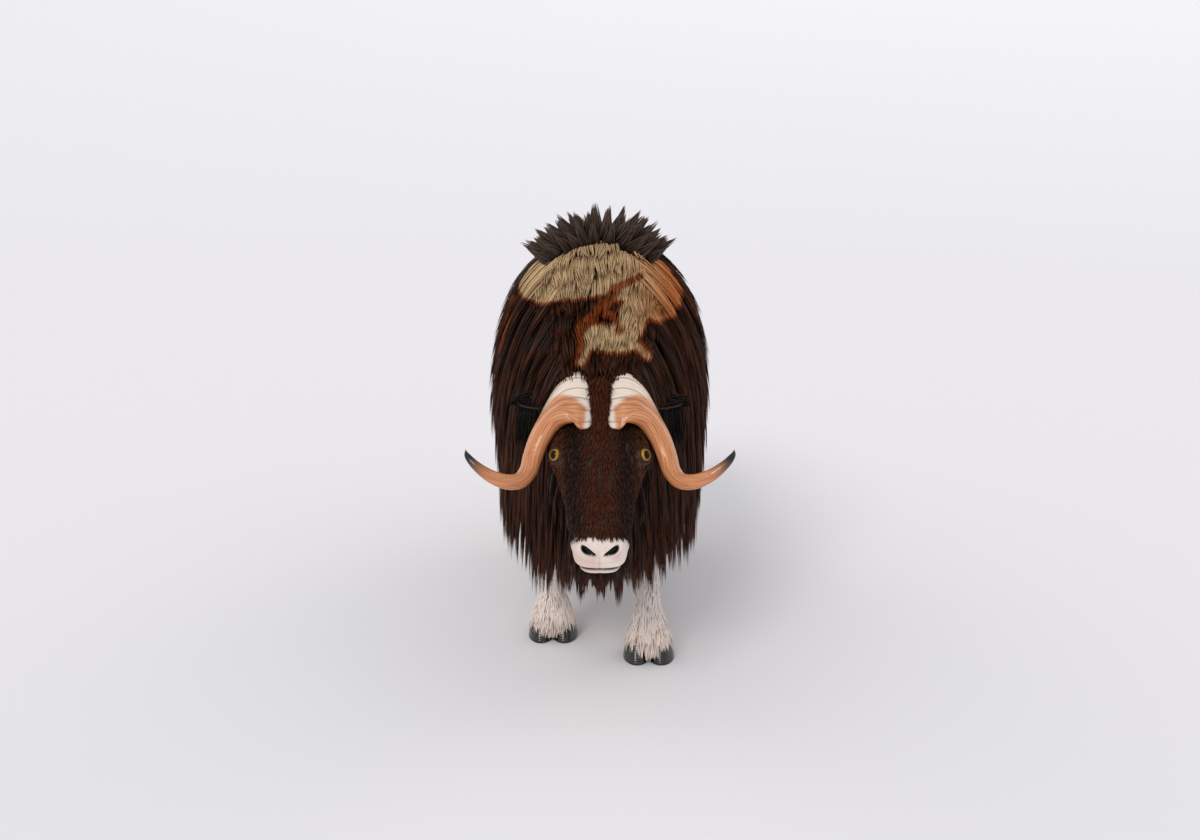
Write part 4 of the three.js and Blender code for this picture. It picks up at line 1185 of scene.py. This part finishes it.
def foreLock():
    # hair between the bosses and below them, down the forehead
    x = rng.uniform(-15, 15, 1500)
    s = rng.uniform(-50, 150, 1500)
    hump = np.sqrt(np.maximum(0, 1 - ((s - 44) / 112) ** 2))
    crown = np.sqrt(np.maximum(0, 1 - (x / 22) ** 2))
    root = np.stack([x, 60 + 40 * hump * crown, s], -1)
    normal = unit(np.stack([x / 14, 1 + 0 * x, (s - 44) / 160], -1))
    flow = np.stack([x * 0.01, -0.1 + 0 * x, 1 + 0 * x], -1) + rng.normal(0, 0.08, (1500, 3))
    paths, ways = shortTufts(root, normal, flow, rng.uniform(45, 85, 1500), rng.uniform(4, 9, 1500), 4)
    unwrap = np.stack([(x + 30) / 60, (s + 60) / 260], -1)
    finish = bpy.data.materials["faceHair"]
    addCoat("coat_forelock", toWorld(paths), ways @ headAxes, rng.uniform(4, 7, 1500), 1.6, finish,
            unwrap=unwrap)


def earColour(point, shade, tipness):
    # black, with a painted pale sheen (a painted highlight) along the upper edge
    paintedSheen = point.part(2).ramp(0.985, 1.01) * (0.35 + shade * 0.65)
    return (paintedSheen * 0.7).between(shade.between(colour("040303"), colour("1d120c")), colour("77736f"))


def earHair():
    allPaths, allWays = [], []
    for side in (1, -1):
        count = 1500
        u = rng.uniform(-0.96, 0.97, count)
        v = rng.uniform(-1, 1, count)
        inner = rng.uniform(0, 1, count) < 0.3
        p = earSurface(u, v, inner)
        normal = unit((p - earMiddle) * [0.3, 1, 1]) * np.where(inner, -1, 1)[:, None]
        normal[:, 1] = np.where(inner, np.abs(normal[:, 1]) + 0.4, normal[:, 1] - 0.2)
        normal = unit(normal)
        # short hair runs out along the ear, and long tufts hang from its lower side
        flow = np.array([0.9, -0.15, 0.2]) + rng.normal(0, 0.12, (count, 3))
        paths, ways = shortTufts(p, normal, flow, rng.uniform(20, 36, count), rng.uniform(2, 5, count), 4)
        hangs = (v > 0.1) & (u > -0.25) & (u < 0.9)
        t = np.linspace(0, 1, 5)[None, :, None]
        fall = unit(np.array([0.08, -0.61, 0.79]) + rng.normal(0, 0.05, (count, 3)))
        length = rng.uniform(55, 140, count)[:, None, None]
        rise = -3 + 7 * np.sin(t * math.pi / 2)
        hanging = p[:, None] + normal[:, None] * rise + fall[:, None] * length * t
        paths = np.where(hangs[:, None, None], hanging, paths)
        paths[..., 0] *= side
        ways[..., 0] *= side
        allPaths.append(paths)
        allWays.append(ways)
    paths, ways = np.concatenate(allPaths), np.concatenate(allWays)
    unwrap = np.clip((paths[:, 0] - paths[:, 0].min(0)) / np.ptp(paths[:, 0], axis=0), 0, 1)[:, :2]
    addCoat("coat_ears", toWorld(paths), ways @ headAxes, rng.uniform(4, 7, len(paths)), 1.4,
            coatMaterial("earHair", earColour), unwrap=unwrap)


def legHair():
    paths, ways, unwraps = [], [], []
    for index, foot in enumerate(feet.values()):
        rows = legRows(foot)
        count = 3500
        z = 62 + 520 * rng.uniform(0, 1, count) ** 1.25
        angle = rng.uniform(0, 360, count)
        root = legPoint(rows, z, angle, skinDepth - 1)
        ahead = legPoint(rows, z - 6, angle, skinDepth - 1)
        beside = legPoint(rows, z, angle + 3, skinDepth - 1)
        normal = unit(np.cross(beside - root, root - ahead))
        flow = unit(ahead - root) + rng.normal(0, 0.05, (count, 3))
        length = np.interp(z, [60, 120, 200, 560], [62, 58, 40, 60]) * rng.uniform(0.7, 1.2, count)
        lift = np.interp(z, [60, 110, 200], [7, 3, 2]) * rng.uniform(0.7, 1.2, count)
        p, w = shortTufts(root, normal, flow, length, lift, 3)
        p[..., 2] = np.maximum(p[..., 2], 6 + rng.uniform(0, 22, (count, 1)))
        paths.append(p)
        ways.append(w)
        unwraps.append(np.stack([(angle / 360 + index) / 4, (z - 40) / 560], -1))
    paths, ways, unwrap = np.concatenate(paths), np.concatenate(ways), np.concatenate(unwraps)

    def legColour(point, shade, tipness):
        brown = bodyColour(point, shade, tipness)
        return legPale(point, shade).between(brown, stockingColour(point, shade, tipness))

    half = len(paths) // 2
    finish = coatMaterial("legHair", legColour)
    for name, part in (("fore", slice(0, half)), ("hind", slice(half, None))):
        widths = rng.uniform(4.5, 8, len(paths[part]))
        addCoat(f"coat_legs_{name}", paths[part], ways[part], widths, 0.9, finish,
                unwrap=unwrap[part])


faceHair()
beardHair()
foreLock()
earHair()
legHair()


# Stage: camera, floor and lights
def stage():
    # a wide dish: flat where the animal stands, rising far from it on every side
    rise = np.linspace(0.08, 1, 24) * math.pi / 2
    radius = np.concatenate([np.linspace(1, 10, 8), 10 + 16 * np.sin(rise)])
    height = np.concatenate([np.zeros(8), 7 * (1 - np.cos(rise))])
    sides = 96
    turn = around(sides)
    level = height[:, None] + 0 * turn
    points = np.stack([radius[:, None] * np.cos(turn), radius[:, None] * np.sin(turn), level], -1)
    faces = gridFaces(len(radius), sides) + [list(range(sides - 1, -1, -1))]
    floor = meshObject("floor", points.reshape(-1, 3) / mm, faces)
    faceOutward(floor)
    finish, _ = material("floorPaint", Base_Color=colour("f4f5f9"), Roughness=0.95, Specular_IOR_Level=0.0)
    floor.data.materials.append(finish)
    world = bpy.data.worlds.new("studio")
    world.use_nodes = True
    world.node_tree.nodes["Background"].inputs[0].default_value = colour("f1f2f6")
    world.node_tree.nodes["Background"].inputs[1].default_value = 0.72
    bpy.context.scene.world = world
    for name, at, width, strength, tint in (("key", (-2.2, -4.8, 4.9), 22, 1.1, "fff8f2"),
                                            ("rimLeft", (-2.0, 1.7, 1.9), 30, 0.24, "ffd9b8"),
                                            ("rimRight", (2.1, 1.6, 1.9), 30, 0.3, "ffd0a4")):
        lamp = bpy.data.lights.new(name, "SUN")
        lamp.angle = math.radians(width)
        lamp.energy = strength
        lamp.color = colour(tint)[:3]
        holder = bpy.data.objects.new(name, lamp)
        holder.location = at
        holder.rotation_euler = (Vector((0, 0, 0.8)) - Vector(at)).to_track_quat("-Z", "Y").to_euler()
        bpy.context.scene.collection.objects.link(holder)


def camera(distance=5.0, height=14.0, lens=40.6, aim=(0.0, 0.0, 0.741)):
    data = bpy.data.cameras.new("camera")
    data.lens = lens
    data.sensor_width = 36
    data.clip_end = 200
    holder = bpy.data.objects.new("camera", data)
    up = math.radians(height)
    holder.location = Vector(aim) + Vector((0, -math.cos(up), math.sin(up))) * distance
    holder.rotation_euler = (Vector(aim) - holder.location).to_track_quat("-Z", "Y").to_euler()
    bpy.context.scene.collection.objects.link(holder)
    bpy.context.scene.camera = holder


stage()
camera()
bpy.context.scene.view_settings.view_transform = "Standard"
